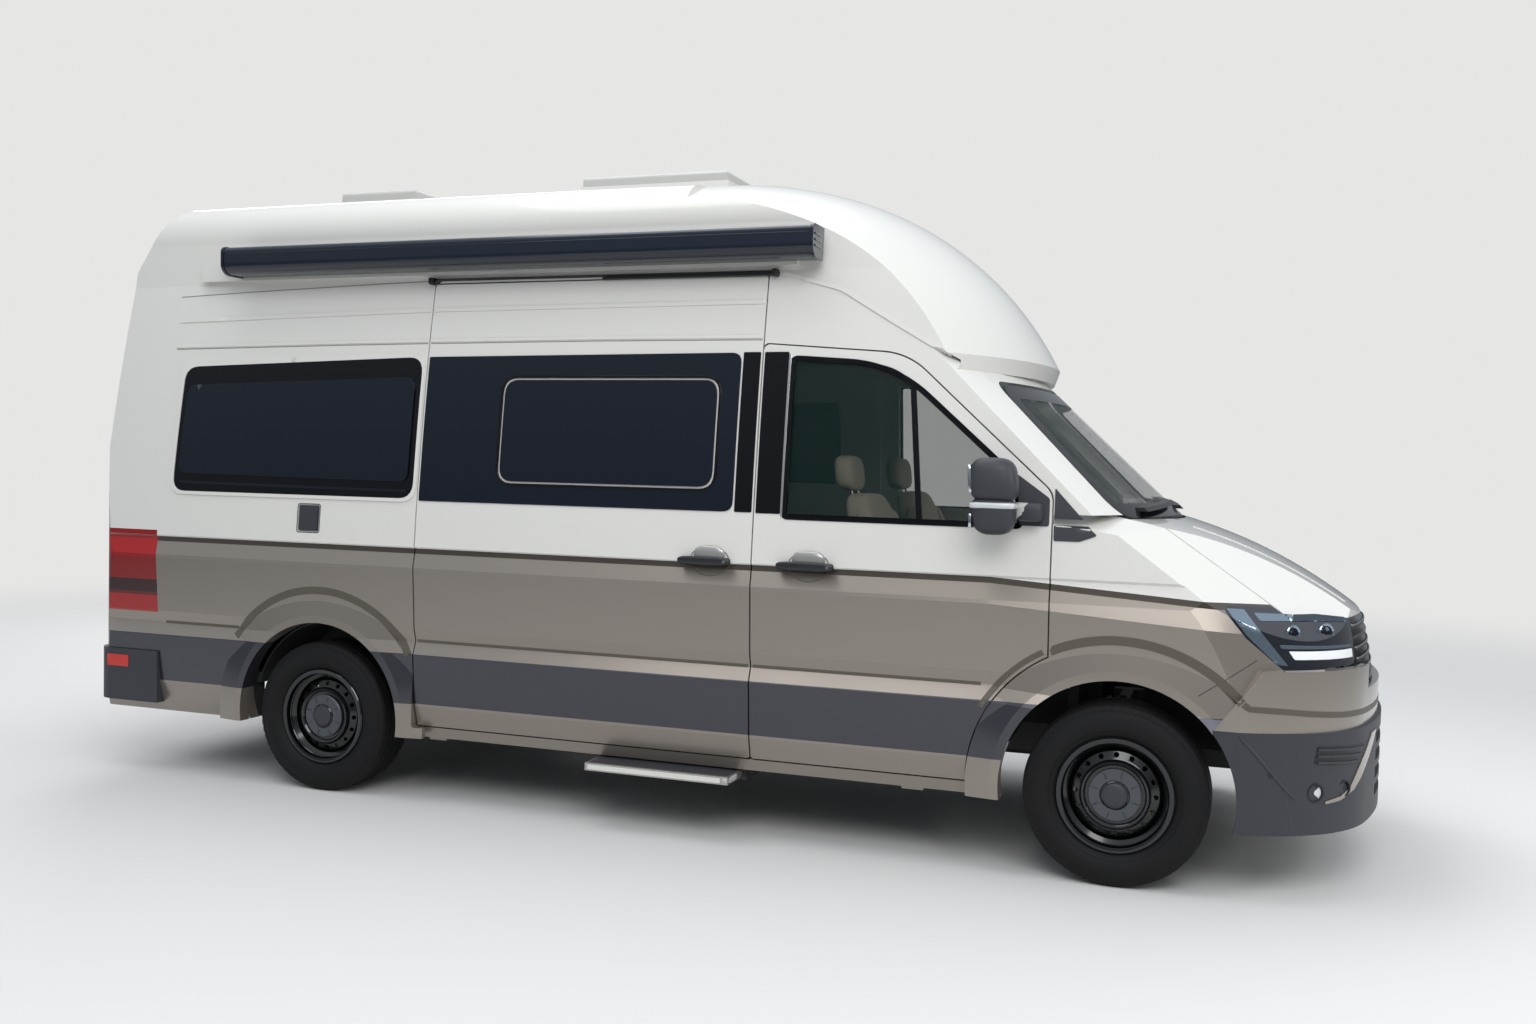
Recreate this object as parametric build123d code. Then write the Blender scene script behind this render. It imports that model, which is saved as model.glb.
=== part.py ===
from build123d import *
from math import hypot, sqrt
import os

# Camper van with a high roof. Millimetres, +X to the nose, +Y to the left side, +Z up,
# origin on the ground under the middle of the vehicle.

# Overall size
LENGTH = 5986
WIDTH = 2040
HEIGHT = 2971
HALF_LENGTH = LENGTH / 2
HALF_WIDTH = WIDTH / 2

# Wheels and axles
WHEELBASE = 3640
FRONT_OVERHANG = 996
FRONT_AXLE_X = HALF_LENGTH - FRONT_OVERHANG
REAR_AXLE_X = FRONT_AXLE_X - WHEELBASE
TRACK = 1758
TYRE_RADIUS = 352
TYRE_WIDTH = 235
RIM_RADIUS = 206
HUB_RADIUS = 62
KINGPIN_INBOARD = 159

# Walls and gaps
WALL = 60
DOOR_THICKNESS = 45
SEAL_GAP = 0.5
SEAL_OVERLAP = 25
SHUT_GAP = 6
ROOF_WALL = 35
PANEL = 25
GLASS = 6

# Heights
SILL_BOTTOM = 300
DOOR_BOTTOM = 355
FLOOR_TOP = 520
FLOOR_BOTTOM = 470
BELT_Z = 1172
GUTTER_Z = 2405
ROOF_CREST = 2890

# Body side section: height, distance inside the widest point
LOWER_SIDE = (
    (SILL_BOTTOM, 72),
    (DOOR_BOTTOM, 52),
    (445, 28),
    (680, 8),
    (745, 32),
    (800, 17),
    (1080, 0),
    (BELT_Z - 7, 16),
    (BELT_Z + 3, 7),
)
SIDE_MIDDLE = (1730, 59)
GUTTER = (GUTTER_Z, 156)

# Roof section: height, distance inside the widest point
ROOF_SIDE = (2610, 174)
ROOF_SHOULDER_MIDDLE = (2755, 228)
ROOF_SHOULDER = (2822, 400)

# Shut lines along the length
DOOR_FRONT_X = 1732
PILLAR_B_X = 511
PILLAR_C_X = -1122
PILLAR_D_X = -2586
REAR_FACE_X = -2960
REAR_LEAN = 75
REAR_CORNER_RADIUS = 110

# Windscreen: its foot on the centre line, its rake and its bow in plan
SCREEN_FOOT_X = 2181
SCREEN_FOOT_Z = 1389
SCREEN_RAKE = 1.067
SCREEN_BOW = 2000
SCREEN_TOP_Z = 1950
SCREEN_HALF_FOOT = 835
SCREEN_HALF_TOP = 730

# Over-cab bulge: a dome turned about an upright axis
BULGE_AXIS_X = 100
BULGE_LIP_Z = 1985
BULGE_LIP_RADIUS = 1480
BULGE_EDGE = (2050, 1502)
BULGE_MIDDLE = (2535, 1120)
BULGE_TOP = (2850, 499)

# Lower edge of the roof moulding from the gutter down to the windscreen pillar
MOULDING = ((-3200, GUTTER_Z), (545, GUTTER_Z), (833, 2324), (1059, 2187), (1331, 2026), (1331, BULGE_LIP_Z))

# Nose: bonnet barrel, plan of the face, slope of the face
BONNET_REAR_Z = 1420
# Centre line of the bonnet: length, height
BONNET_LINE = ((1985, 1440), (2500, 1280), (2910, 1031))
BONNET_CROWN = 32
# The shoulder between bonnet and wing: a point on it and its outward slope
SHOULDER_POINT = (1960, 900, 1430)
SHOULDER_SLOPE = (0.5025, 0.4853, 0.7144)
BONNET_HALF_WIDTH = 790
BONNET_HALF_CROWN = 800
BONNET_FRONT_Z = 1045
FACE_TOP_X = 2908
FACE_TOP_Z = 1040
FACE_SLOPE = 0.19
FACE_SHOULDER = (2813, 600)
FACE_CORNER = (2620, 872)
FACE_REAR = (2150, 1020)

# Wheel arches and their flares
ARCH_Z = 358
ARCH_RADIUS = 440
FLARE_RADIUS = 572
FLARE_LIP = 35

# Hinge lines
DOOR_HINGE_X = DOOR_FRONT_X + SHUT_GAP
DOOR_HINGE_Y = HALF_WIDTH + 2
REAR_DOOR_HALF = 823
REAR_DOOR_BOTTOM = 610
REAR_DOOR_TOP = 2330
REAR_HINGE_X = REAR_FACE_X - 6


def closed(points, radius=0):
    """Flat face inside a closed outline, with its corners rounded if a radius is given"""
    if radius:
        return make_face(FilletPolyline(*points, radius=radius, close=True))
    return make_face(Polyline(*points, close=True))


def along_x(face, start, end):
    """Prism of a face drawn in Y and Z"""
    plane = Plane(origin=(start, 0, 0), x_dir=(0, 1, 0), z_dir=(1, 0, 0))
    return extrude(plane * face, amount=end - start)


def along_y(face, start, end):
    """Prism of a face drawn in X and Z"""
    plane = Plane(origin=(0, end, 0), x_dir=(1, 0, 0), z_dir=(0, -1, 0))
    return extrude(plane * face, amount=end - start)


def along_z(face, start, end):
    """Prism of a face drawn in X and Y"""
    return extrude(Plane.XY.offset(start) * face, amount=end - start)


def block(x, y, z):
    """Box from three pairs of limits"""
    size = (x[1] - x[0], y[1] - y[0], z[1] - z[0])
    middle = ((x[0] + x[1]) / 2, (y[0] + y[1]) / 2, (z[0] + z[1]) / 2)
    return Pos(*middle) * Box(*size)


def drum(x, z, radius, y_start, y_end):
    """Cylinder across the vehicle"""
    return Pos(x, (y_start + y_end) / 2, z) * Rot(90, 0, 0) * Cylinder(radius, y_end - y_start)


def mirrored(shape):
    """The same piece on the other side of the vehicle"""
    return mirror(shape, about=Plane.XZ)


def whole(shape):
    """One shape from whatever a cut leaves"""
    solids = shape.solids()
    if len(solids) == 1:
        return solids[0]
    return Compound(children=solids)


def body_section(inset):
    """Closed section of the body and roof, drawn in Y and Z"""
    lines = []
    for side in (-1, 1):
        lower = [(side * (HALF_WIDTH - inside - inset), height) for height, inside in LOWER_SIDE]
        middle = (side * (HALF_WIDTH - SIDE_MIDDLE[1] - inset), SIDE_MIDDLE[0])
        gutter = (side * (HALF_WIDTH - GUTTER[1] - inset), GUTTER[0])
        roof_side = (side * (HALF_WIDTH - ROOF_SIDE[1] - inset), ROOF_SIDE[0])
        bend = (side * (HALF_WIDTH - ROOF_SHOULDER_MIDDLE[1] - inset), ROOF_SHOULDER_MIDDLE[0] - inset * 0.6)
        shoulder = (side * (HALF_WIDTH - ROOF_SHOULDER[1]), ROOF_SHOULDER[0] - inset)
        lines.append(Polyline(*lower))
        lines.append(ThreePointArc(lower[-1], middle, gutter))
        lines.append(Line(gutter, roof_side))
        lines.append(ThreePointArc(roof_side, bend, shoulder))
    foot = HALF_WIDTH - LOWER_SIDE[0][1] - inset
    shoulder_y = HALF_WIDTH - ROOF_SHOULDER[1]
    shoulder_z = ROOF_SHOULDER[0] - inset
    lines.append(ThreePointArc((-shoulder_y, shoulder_z), (0, ROOF_CREST - inset), (shoulder_y, shoulder_z)))
    lines.append(Line((-foot, SILL_BOTTOM), (foot, SILL_BOTTOM)))
    return make_face(lines)


def rear_end(inset):
    """Everything ahead of the tail: rounded corners in plan and a lean above the belt"""
    back = REAR_FACE_X + inset
    radius = REAR_CORNER_RADIUS - inset * 0.6
    half = HALF_WIDTH - inset
    box = block((back, HALF_LENGTH), (-half, half), (0, HEIGHT + 200))
    upright = fillet(box.edges().filter_by(Axis.Z).group_by(Axis.X)[0], radius)
    lean = along_y(closed((
        (back, 0), (back, 1250), (back + REAR_LEAN, 2480), (back + 240, 2760), (back + 420, HEIGHT),
        (HALF_LENGTH, HEIGHT), (HALF_LENGTH, 0))), -HALF_WIDTH, HALF_WIDTH)
    return upright & lean


def behind_screen(inset):
    """Everything behind the windscreen's raked and bowed surface"""
    run = hypot(SCREEN_RAKE, 1)
    drop = SCREEN_FOOT_Z
    foot = SCREEN_FOOT_X + drop * SCREEN_RAKE - inset * run / SCREEN_RAKE
    half = HALF_WIDTH + 40
    bow = SCREEN_BOW - sqrt(SCREEN_BOW ** 2 - half ** 2)
    plan = make_face([
        ThreePointArc((foot - bow, -half), (foot, 0), (foot - bow, half)),
        Polyline((foot - bow, half), (-4600, half), (-4600, -half), (foot - bow, -half))])
    base = Plane.XY.offset(SCREEN_FOOT_Z - drop) * plan
    return extrude(base, amount=HEIGHT * run, dir=(-SCREEN_RAKE / run, 0, 1 / run))


def bulge(inset):
    """The over-cab dome and all of the roof behind it"""
    edge = (BULGE_EDGE[1] - inset, BULGE_EDGE[0])
    middle = (BULGE_MIDDLE[1] - inset * 0.8, BULGE_MIDDLE[0] - inset * 0.6)
    top = (BULGE_TOP[1] - inset * 0.2, BULGE_TOP[0] - inset)
    lip = (BULGE_LIP_RADIUS - inset, BULGE_LIP_Z)
    crest = HEIGHT
    profile = make_face([
        Polyline((0, BULGE_LIP_Z), lip, edge),
        ThreePointArc(edge, middle, top),
        Polyline(top, (0, crest - inset), (0, BULGE_LIP_Z))])
    dome = Pos(BULGE_AXIS_X, 0, 0) * revolve(Plane.XZ * profile, Axis.Z)
    rest = block((-3200, BULGE_AXIS_X), (-HALF_WIDTH, HALF_WIDTH), (BULGE_LIP_Z, HEIGHT))
    return dome + rest


def below_moulding():
    """The steel body's share of the side view"""
    return along_y(closed(MOULDING + ((2400, BULGE_LIP_Z), (2400, 0), (-3200, 0))), -HALF_WIDTH, HALF_WIDTH)


def above_moulding(inset=0):
    """The roof's share of the side view"""
    points = [(x, z) for x, z in MOULDING[:-1]]
    lip = [(MOULDING[-1][0], BULGE_LIP_Z + inset), (2400, BULGE_LIP_Z + inset), (2400, 3200), (-3200, 3200)]
    return along_y(closed(points + lip), -HALF_WIDTH - 50, HALF_WIDTH + 50)


def steel_body(inset):
    """The steel body's outer form, moved in by a wall thickness"""
    prism = along_x(body_section(inset), -3200, 2600)
    return prism & rear_end(inset) & behind_screen(inset)


def nose_body(inset):
    """Bonnet, wings and face as one form, moved in by a panel thickness"""
    line = ThreePointArc(*BONNET_LINE)
    radius = line.radius - inset
    crown = BONNET_HALF_CROWN
    rim_y = HALF_WIDTH + 80
    rim_z = radius - BONNET_CROWN - 90
    barrel_profile = make_face([
        ThreePointArc((-crown, radius - BONNET_CROWN), (0, radius), (crown, radius - BONNET_CROWN)),
        Polyline((crown, radius - BONNET_CROWN), (rim_y, rim_z), (rim_y, 200), (-rim_y, 200), (-rim_y, rim_z),
                 (-crown, radius - BONNET_CROWN))])
    plane = Plane(origin=(0, 0, 0), x_dir=(0, 1, 0), z_dir=(1, 0, 0))
    barrel = Pos(line.arc_center.X, 0, line.arc_center.Y) * revolve(plane * barrel_profile, Axis.Y)
    for side in (-1, 1):
        slope = Vector(SHOULDER_SLOPE[0], side * SHOULDER_SLOPE[1], SHOULDER_SLOPE[2]).normalized()
        point = Vector(SHOULDER_POINT[0], side * SHOULDER_POINT[1], SHOULDER_POINT[2]) - slope * inset
        barrel -= extrude(Plane(origin=point, z_dir=slope) * Rectangle(4000, 4000), amount=900)
    drop = 400
    run = hypot(FACE_SLOPE, 1)
    top = FACE_TOP_X - drop * FACE_SLOPE - inset
    shift = top - FACE_TOP_X
    lines = [ThreePointArc((FACE_SHOULDER[0] + shift, -FACE_SHOULDER[1]), (top, 0),
                           (FACE_SHOULDER[0] + shift, FACE_SHOULDER[1]))]
    rear = (FACE_REAR[0] - drop * FACE_SLOPE, FACE_REAR[1] - inset)
    for side in (-1, 1):
        shoulder = (FACE_SHOULDER[0] + shift, side * FACE_SHOULDER[1])
        corner = (FACE_CORNER[0] + shift + inset * 0.3, side * (FACE_CORNER[1] - inset * 0.6))
        lines.append(ThreePointArc(shoulder, corner, (rear[0], side * rear[1])))
        lines.append(Line((rear[0], side * rear[1]), (1000, side * rear[1])))
    lines.append(Line((1000, -rear[1]), (1000, rear[1])))
    plan = Plane.XY.offset(FACE_TOP_Z + drop) * make_face(lines)
    face = extrude(plan, amount=1300 * run, dir=(FACE_SLOPE / run, 0, -1 / run))
    sides = along_x(body_section(inset), 1200, HALF_LENGTH + 100)
    return barrel & face & sides


def front_door_outline(grow=0):
    """Front door in side view; a positive value grows it on every side"""
    rear = PILLAR_B_X + SHUT_GAP / 2 - grow
    front = DOOR_FRONT_X + grow
    face = make_face(FilletPolyline(
        (rear, DOOR_BOTTOM - grow), (rear, 2090 + grow), (1130 + grow * 0.4, 2045 + grow), (front, 1500 + grow * 0.5),
        (front, DOOR_BOTTOM - grow), radius=[12, 25, 300, 80, 12], close=True))
    wheel_cut = drum(FRONT_AXLE_X, ARCH_Z, FLARE_RADIUS + SHUT_GAP - grow, -HALF_WIDTH - 60, 0)
    return along_y(face, -HALF_WIDTH - 60, 0) - wheel_cut


def slide_door_outline(grow=0):
    """Sliding door in side view"""
    face = closed((
        (PILLAR_C_X + SHUT_GAP / 2 - grow, DOOR_BOTTOM - grow), (PILLAR_C_X + SHUT_GAP / 2 - grow, SLIDE_DOOR_TOP + grow),
        (PILLAR_B_X - SHUT_GAP / 2 + grow, SLIDE_DOOR_TOP + grow), (PILLAR_B_X - SHUT_GAP / 2 + grow, DOOR_BOTTOM - grow)),
        radius=12)
    return along_y(face, -HALF_WIDTH - 60, 0)


def rear_door_outline(grow=0):
    """Right rear door seen from behind"""
    middle = -SHUT_GAP / 2 + grow
    hinge = -REAR_DOOR_HALF + SHUT_GAP / 2 - grow
    face = closed((
        (hinge, REAR_DOOR_BOTTOM - grow), (hinge, REAR_DOOR_TOP + grow), (middle, REAR_DOOR_TOP + grow),
        (middle, REAR_DOOR_BOTTOM - grow)), radius=12)
    return along_x(face, REAR_FACE_X - 100, REAR_FACE_X + 700)


def grown(points, amount):
    """Four-cornered outline moved out from its middle by an amount on each side"""
    middle_x = sum(point[0] for point in points) / len(points)
    middle_z = sum(point[1] for point in points) / len(points)
    return tuple((x + amount * (1 if x > middle_x else -1), z + amount * (1 if z > middle_z else -1)) for x, z in points)


def side_window(points, radius, y_start, y_end):
    """Window opening through a body side"""
    return along_y(closed(points, radius=radius), y_start, y_end)


def front_glass_outline():
    """Front door window in side view, with its rounded upper corner"""
    face = make_face(FilletPolyline(
        (642, 1378), (642, 2026), (1080, 1998), (1590, 1550), (1610, 1374), radius=[20, 20, 240, 60, 20], close=True))
    return along_y(face, -HALF_WIDTH - 60, 0)


ADAPTER = 38
AWNING_REAR = -2190
AWNING_FRONT = 742
AWNING_CAP = 14
AWNING_BOTTOM = 2434
AWNING_TOP = 2562
AWNING_Y = 1036
STEP_REAR = -205
STEP_FRONT = 455
STEP_LOW = 257
STEP_HIGH = 291
STEP_REACH = 1078
MIRROR_REACH = 1213
TAIL_LAMP_DEPTH = 40
VENT_FRAME_TOP = 2922
LAMP_INNER_Y = 560
LAMP_DEPTH = 90
BUMPER_REAR_X = 2405
BUMPER_SPLIT_Z = 640
BUMPER_BOTTOM = 262
BUMPER_WALL = 30
GRILLE_HALF = 556
GRILLE_BOTTOM = 775
GRILLE_DEPTH = 50
GRILLE_BARS = 6
GRILLE_PITCH = 42
GRILLE_BAR = 16
INTAKE_SLOTS = (330, 400, 470, 540)
INTAKE_HEIGHT = 45
RAIL_Y = 420
RAIL_WIDTH = 80
RAIL_HEIGHT = 70
SLIDE_DOOR_TOP = 2380
SILL_HALF = 905
SILL_FRONT_X = FRONT_AXLE_X - FLARE_RADIUS - 2
BOX_INNER_Y = 570
BOX_WALL = 8
# Jacking pads under the sills: places along, place across, size
JACK_X = (1200, -1030)
JACK_Y = 922
JACK_LENGTH = 90
JACK_WIDTH = 30
JACK_DROP = 12
FLAP = ((-1768, 1224), (-1768, 1349), (-1650, 1349), (-1650, 1224))
FLAP_GAP = 5
FLAP_THICKNESS = 10
# Roof vents: place along and across, half length, half width
ROOF_VENTS = ((-300, 0, 350, 250), (-1900, 0, 200, 200))
RIGHT = (-HALF_WIDTH - 60, 0)
LEFT = (0, HALF_WIDTH + 60)
SLIDE_WINDOW = ((-697, 1490), (-697, 1938), (315, 1938), (315, 1490))
REAR_WINDOW = ((-2512, 1400), (-2512, 2035), (-1150, 2035), (-1150, 1400))
LEFT_WINDOW = ((-697, 1490), (-697, 1938), (315, 1938), (315, 1490))
SCREEN_OUTLINE = ((-SCREEN_HALF_FOOT, 1400), (-SCREEN_HALF_TOP, SCREEN_TOP_Z), (SCREEN_HALF_TOP, SCREEN_TOP_Z),
                  (SCREEN_HALF_FOOT, 1400))
REAR_DOOR_WINDOW = ((-700, 1400), (-690, 2060), (-110, 2060), (-110, 1400))

# Steel body: one hollow form, then cut along its real shut lines
skin = steel_body(0)
lined = steel_body(WALL)
door_skin = steel_body(DOOR_THICKNESS)
seal_skin = steel_body(DOOR_THICKNESS + SEAL_GAP)
glass_skin = steel_body(GLASS)
room = lined + block((REAR_FACE_X + WALL, 2400), (-880, 880), (SILL_BOTTOM - 10, SILL_BOTTOM + 10))
below = below_moulding()
nose_zone = block((DOOR_HINGE_X, HALF_LENGTH + 200), (-HALF_WIDTH - 60, HALF_WIDTH + 60), (0, BONNET_REAR_Z))
flare_zone = drum(FRONT_AXLE_X, ARCH_Z, FLARE_RADIUS, -HALF_WIDTH - 60, HALF_WIDTH + 60)
arch_zone = drum(FRONT_AXLE_X, ARCH_Z, ARCH_RADIUS, -HALF_WIDTH - 60, HALF_WIDTH + 60)
rear_arch_zone = drum(REAR_AXLE_X, ARCH_Z, ARCH_RADIUS, -HALF_WIDTH - 60, HALF_WIDTH + 60)

shell = (skin - lined) & below
shell -= nose_zone
shell -= flare_zone
shell -= rear_arch_zone

front_hole = front_door_outline(SHUT_GAP) & (skin - seal_skin)
front_inner_hole = front_door_outline(-SEAL_OVERLAP)
slide_hole = slide_door_outline(SHUT_GAP) & (skin - seal_skin)
slide_inner_hole = slide_door_outline(-SEAL_OVERLAP)
rear_hole = rear_door_outline(SHUT_GAP) & (skin - seal_skin)
rear_inner_hole = rear_door_outline(-SEAL_OVERLAP)

screen_prism = along_x(closed(SCREEN_OUTLINE, radius=70), 1200, 2400)
rear_window_prism = side_window(REAR_WINDOW, 70, *RIGHT)
left_rear_window_prism = side_window(REAR_WINDOW, 70, *LEFT)
left_window_prism = side_window(LEFT_WINDOW, 50, *LEFT)

shell -= front_hole
shell -= front_inner_hole
shell -= mirrored(front_hole)
shell -= mirrored(front_inner_hole)
shell -= slide_hole
shell -= slide_inner_hole
shell -= rear_hole
shell -= rear_inner_hole
shell -= mirrored(rear_hole)
shell -= mirrored(rear_inner_hole)
shell -= screen_prism
shell -= rear_window_prism
shell -= left_rear_window_prism
shell -= left_window_prism

# The remaining steel splits at the rear corner seam and over the windscreen
header_zone = block((1200, 2000), (-760, 760), (SCREEN_TOP_Z - 60, BULGE_LIP_Z))
rear_zone = block((REAR_FACE_X - 50, PILLAR_D_X), (-HALF_WIDTH - 60, HALF_WIDTH + 60), (0, HEIGHT))
parts = {}
parts["rear_frame"] = shell & rear_zone
parts["cab_header"] = shell & header_zone
sides = shell - rear_zone - header_zone
half_space = block((-3200, 2600), (-HALF_WIDTH - 60, 0), (0, HEIGHT))
sill = block((PILLAR_D_X, SILL_FRONT_X), (-960, -SILL_HALF), (SILL_BOTTOM, DOOR_BOTTOM - SHUT_GAP))
sill = sill & skin
for x in JACK_X:
    sill += block((x - JACK_LENGTH / 2, x + JACK_LENGTH / 2), (-JACK_Y - JACK_WIDTH / 2, -JACK_Y + JACK_WIDTH / 2),
                  (SILL_BOTTOM - JACK_DROP, SILL_BOTTOM))
right_side = (sides & half_space) + (sill - rear_arch_zone)
left_side = mirrored(mirrored(sides) & half_space) + mirrored(sill - rear_arch_zone)
flap_pocket = side_window(FLAP, 8, -HALF_WIDTH - 60, 0) & (skin - steel_body(FLAP_THICKNESS + SEAL_GAP))
parts["body_side_right"] = right_side - flap_pocket
parts["body_side_left"] = left_side

# Doors, each as thick as the real one with its lining
door_wall = skin - door_skin
right_door = (front_door_outline() & door_wall) - front_glass_outline()
parts["front_door_right"] = right_door
parts["front_door_left"] = mirrored(right_door)
pane = front_glass_outline() & (steel_body(12) - steel_body(12 + GLASS))
parts["front_door_glass_right"] = pane
parts["front_door_glass_left"] = mirrored(pane)
slide_window = side_window(SLIDE_WINDOW, 50, *RIGHT)
parts["sliding_door"] = (slide_door_outline() & door_wall) - slide_window
parts["sliding_door_glass"] = slide_window & (skin - glass_skin)
rear_glass_prism = along_x(closed(REAR_DOOR_WINDOW, radius=60), REAR_FACE_X - 100, REAR_FACE_X + 700)
right_rear = (rear_door_outline() & door_wall) - rear_glass_prism
parts["rear_door_right"] = right_rear
parts["rear_door_left"] = mirrored(right_rear)
rear_pane = rear_glass_prism & (skin - glass_skin)
parts["rear_door_glass_right"] = rear_pane
parts["rear_door_glass_left"] = mirrored(rear_pane)
parts["windscreen"] = screen_prism & (skin - glass_skin)
parts["side_windows"] = Compound(children=[
    whole(rear_window_prism & (skin - glass_skin)),
    whole(left_rear_window_prism & (skin - glass_skin)),
    whole(left_window_prism & (skin - glass_skin))])
parts["socket_flap"] = side_window(grown(FLAP, -FLAP_GAP), 5, -HALF_WIDTH - 60, 0) & (skin - steel_body(FLAP_THICKNESS))

# High roof with its over-cab bulge
def roof_body(inset):
    """The roof's outer form, moved in by its wall"""
    return along_x(body_section(inset), -3200, 2600) & rear_end(inset) & bulge(inset) & above_moulding(inset)


roof = roof_body(0) - roof_body(ROOF_WALL)
for x, y, half_x, half_y in ROOF_VENTS:
    roof -= block((x - half_x, x + half_x), (y - half_y, y + half_y), (2700, HEIGHT))
parts["high_roof"] = roof


# Nose: bonnet, wings, headlamps, grille and bumpers share one outer form
nose = nose_body(0)
nose_skin = nose - nose_body(PANEL)
bonnet_top = block((SCREEN_FOOT_X - 330, HALF_LENGTH), (-BONNET_HALF_WIDTH, BONNET_HALF_WIDTH), (BONNET_FRONT_Z, 1500))
bonnet_hole = block((SCREEN_FOOT_X - 336, HALF_LENGTH + 50), (-BONNET_HALF_WIDTH - SHUT_GAP, BONNET_HALF_WIDTH + SHUT_GAP),
                    (BONNET_FRONT_Z - SHUT_GAP, 1500))
ahead_of_screen = nose - behind_screen(-SHUT_GAP)
parts["bonnet"] = (nose_skin & bonnet_top) & ahead_of_screen

lamp_outline = closed(((2357, 1103), (2830, 1066), (2850, 872), (2585, 868), (2450, 985)), radius=14)
lamp_zone = along_y(lamp_outline, -HALF_WIDTH - 60, -LAMP_INNER_Y)
lamp_depth = nose - nose_body(LAMP_DEPTH)
bumper_zone = along_y(closed((
    (BUMPER_REAR_X, 0), (BUMPER_REAR_X - 60, 640), (2520, 868), (HALF_LENGTH + 90, 868), (HALF_LENGTH + 90, 0))),
    -HALF_WIDTH - 60, HALF_WIDTH + 60)
grille_zone = block((2600, HALF_LENGTH + 90), (-GRILLE_HALF, GRILLE_HALF), (GRILLE_BOTTOM, BONNET_FRONT_Z - SHUT_GAP))
face_hole = block((2600, HALF_LENGTH + 90), (-LAMP_INNER_Y, LAMP_INNER_Y), (0, BONNET_FRONT_Z - SHUT_GAP))
right_lamp = (lamp_depth & lamp_zone) - bonnet_hole
parts["headlamps"] = Compound(children=[whole(right_lamp), whole(mirrored(right_lamp))])

wing = (nose_skin & (nose_zone + flare_zone)) - arch_zone
wing -= bonnet_hole
wing -= bumper_zone
wing -= lamp_zone
wing -= mirrored(lamp_zone)
wing -= face_hole
flare_profile = closed(((ARCH_RADIUS, 960), (ARCH_RADIUS, HALF_WIDTH), (ARCH_RADIUS + FLARE_LIP, HALF_WIDTH),
                        (FLARE_RADIUS, 1004), (FLARE_RADIUS, 980)))


def flare(x):
    """Raised ring round the right wheel arch at an axle"""
    ring = revolve(Plane(origin=(0, 0, 0), x_dir=(1, 0, 0), z_dir=(0, 0, 1)) * flare_profile, Axis.Y)
    ring = Pos(x, 0, ARCH_Z) * mirror(ring, about=Plane.XZ)
    return ring & block((x - 700, x + 700), (-HALF_WIDTH - 10, -900), (SILL_BOTTOM, 1100))


front_flare = flare(FRONT_AXLE_X) - bumper_zone
right_wing = whole((wing & half_space) + front_flare)
parts["front_wings"] = Compound(children=[right_wing, whole(mirrored(right_wing))])
rear_flare = flare(REAR_AXLE_X)
slide_clear = slide_door_outline(SHUT_GAP)
parts["body_side_right"] = parts["body_side_right"] + (rear_flare - slide_clear)
parts["body_side_left"] = parts["body_side_left"] + mirrored(rear_flare)


def bumper_body(inset, front, top, bottom):
    """Bumper form: bowed face, rounded corners, level top and bottom"""
    face = HALF_LENGTH - front - inset
    half = HALF_WIDTH - 8 - inset
    shoulder = (face - 95, 620)
    corner = (face - 290, 900 - inset)
    lines = [ThreePointArc((shoulder[0], -shoulder[1]), (face, 0), shoulder)]
    for side in (-1, 1):
        lines.append(ThreePointArc((shoulder[0], side * shoulder[1]), (corner[0], side * corner[1]), (2440, side * half)))
        lines.append(Line((2440, side * half), (2300, side * half)))
    lines.append(Line((2300, -half), (2300, half)))
    return along_z(make_face(lines), bottom, top)


upper_bumper = bumper_body(0, 14, 868, BUMPER_SPLIT_Z) - bumper_body(BUMPER_WALL, 14, 868, BUMPER_SPLIT_Z)
upper_bumper = upper_bumper & bumper_zone
upper_bumper -= grille_zone
upper_bumper -= arch_zone
parts["upper_bumper"] = upper_bumper
lower_bumper = bumper_body(0, 0, BUMPER_SPLIT_Z, BUMPER_BOTTOM)
lower_bumper -= bumper_body(BUMPER_WALL, 0, BUMPER_SPLIT_Z + 10, BUMPER_BOTTOM - 10)
lower_bumper = lower_bumper & bumper_zone
lower_bumper -= arch_zone
for z in INTAKE_SLOTS:
    lower_bumper -= block((2700, HALF_LENGTH + 10), (-430, 430), (z, z + INTAKE_HEIGHT))
parts["lower_bumper"] = lower_bumper

grille_form = nose & grille_zone
grille_back = grille_form & nose_body(GRILLE_DEPTH)
grille = grille_back - nose_body(GRILLE_DEPTH + 12)
bar_band = grille_form - nose_body(GRILLE_DEPTH)
for index in range(GRILLE_BARS):
    z = GRILLE_BOTTOM + 14 + index * GRILLE_PITCH
    grille += bar_band & block((2500, HALF_LENGTH + 90), (-GRILLE_HALF, GRILLE_HALF), (z, z + GRILLE_BAR))
parts["grille"] = grille

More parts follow.
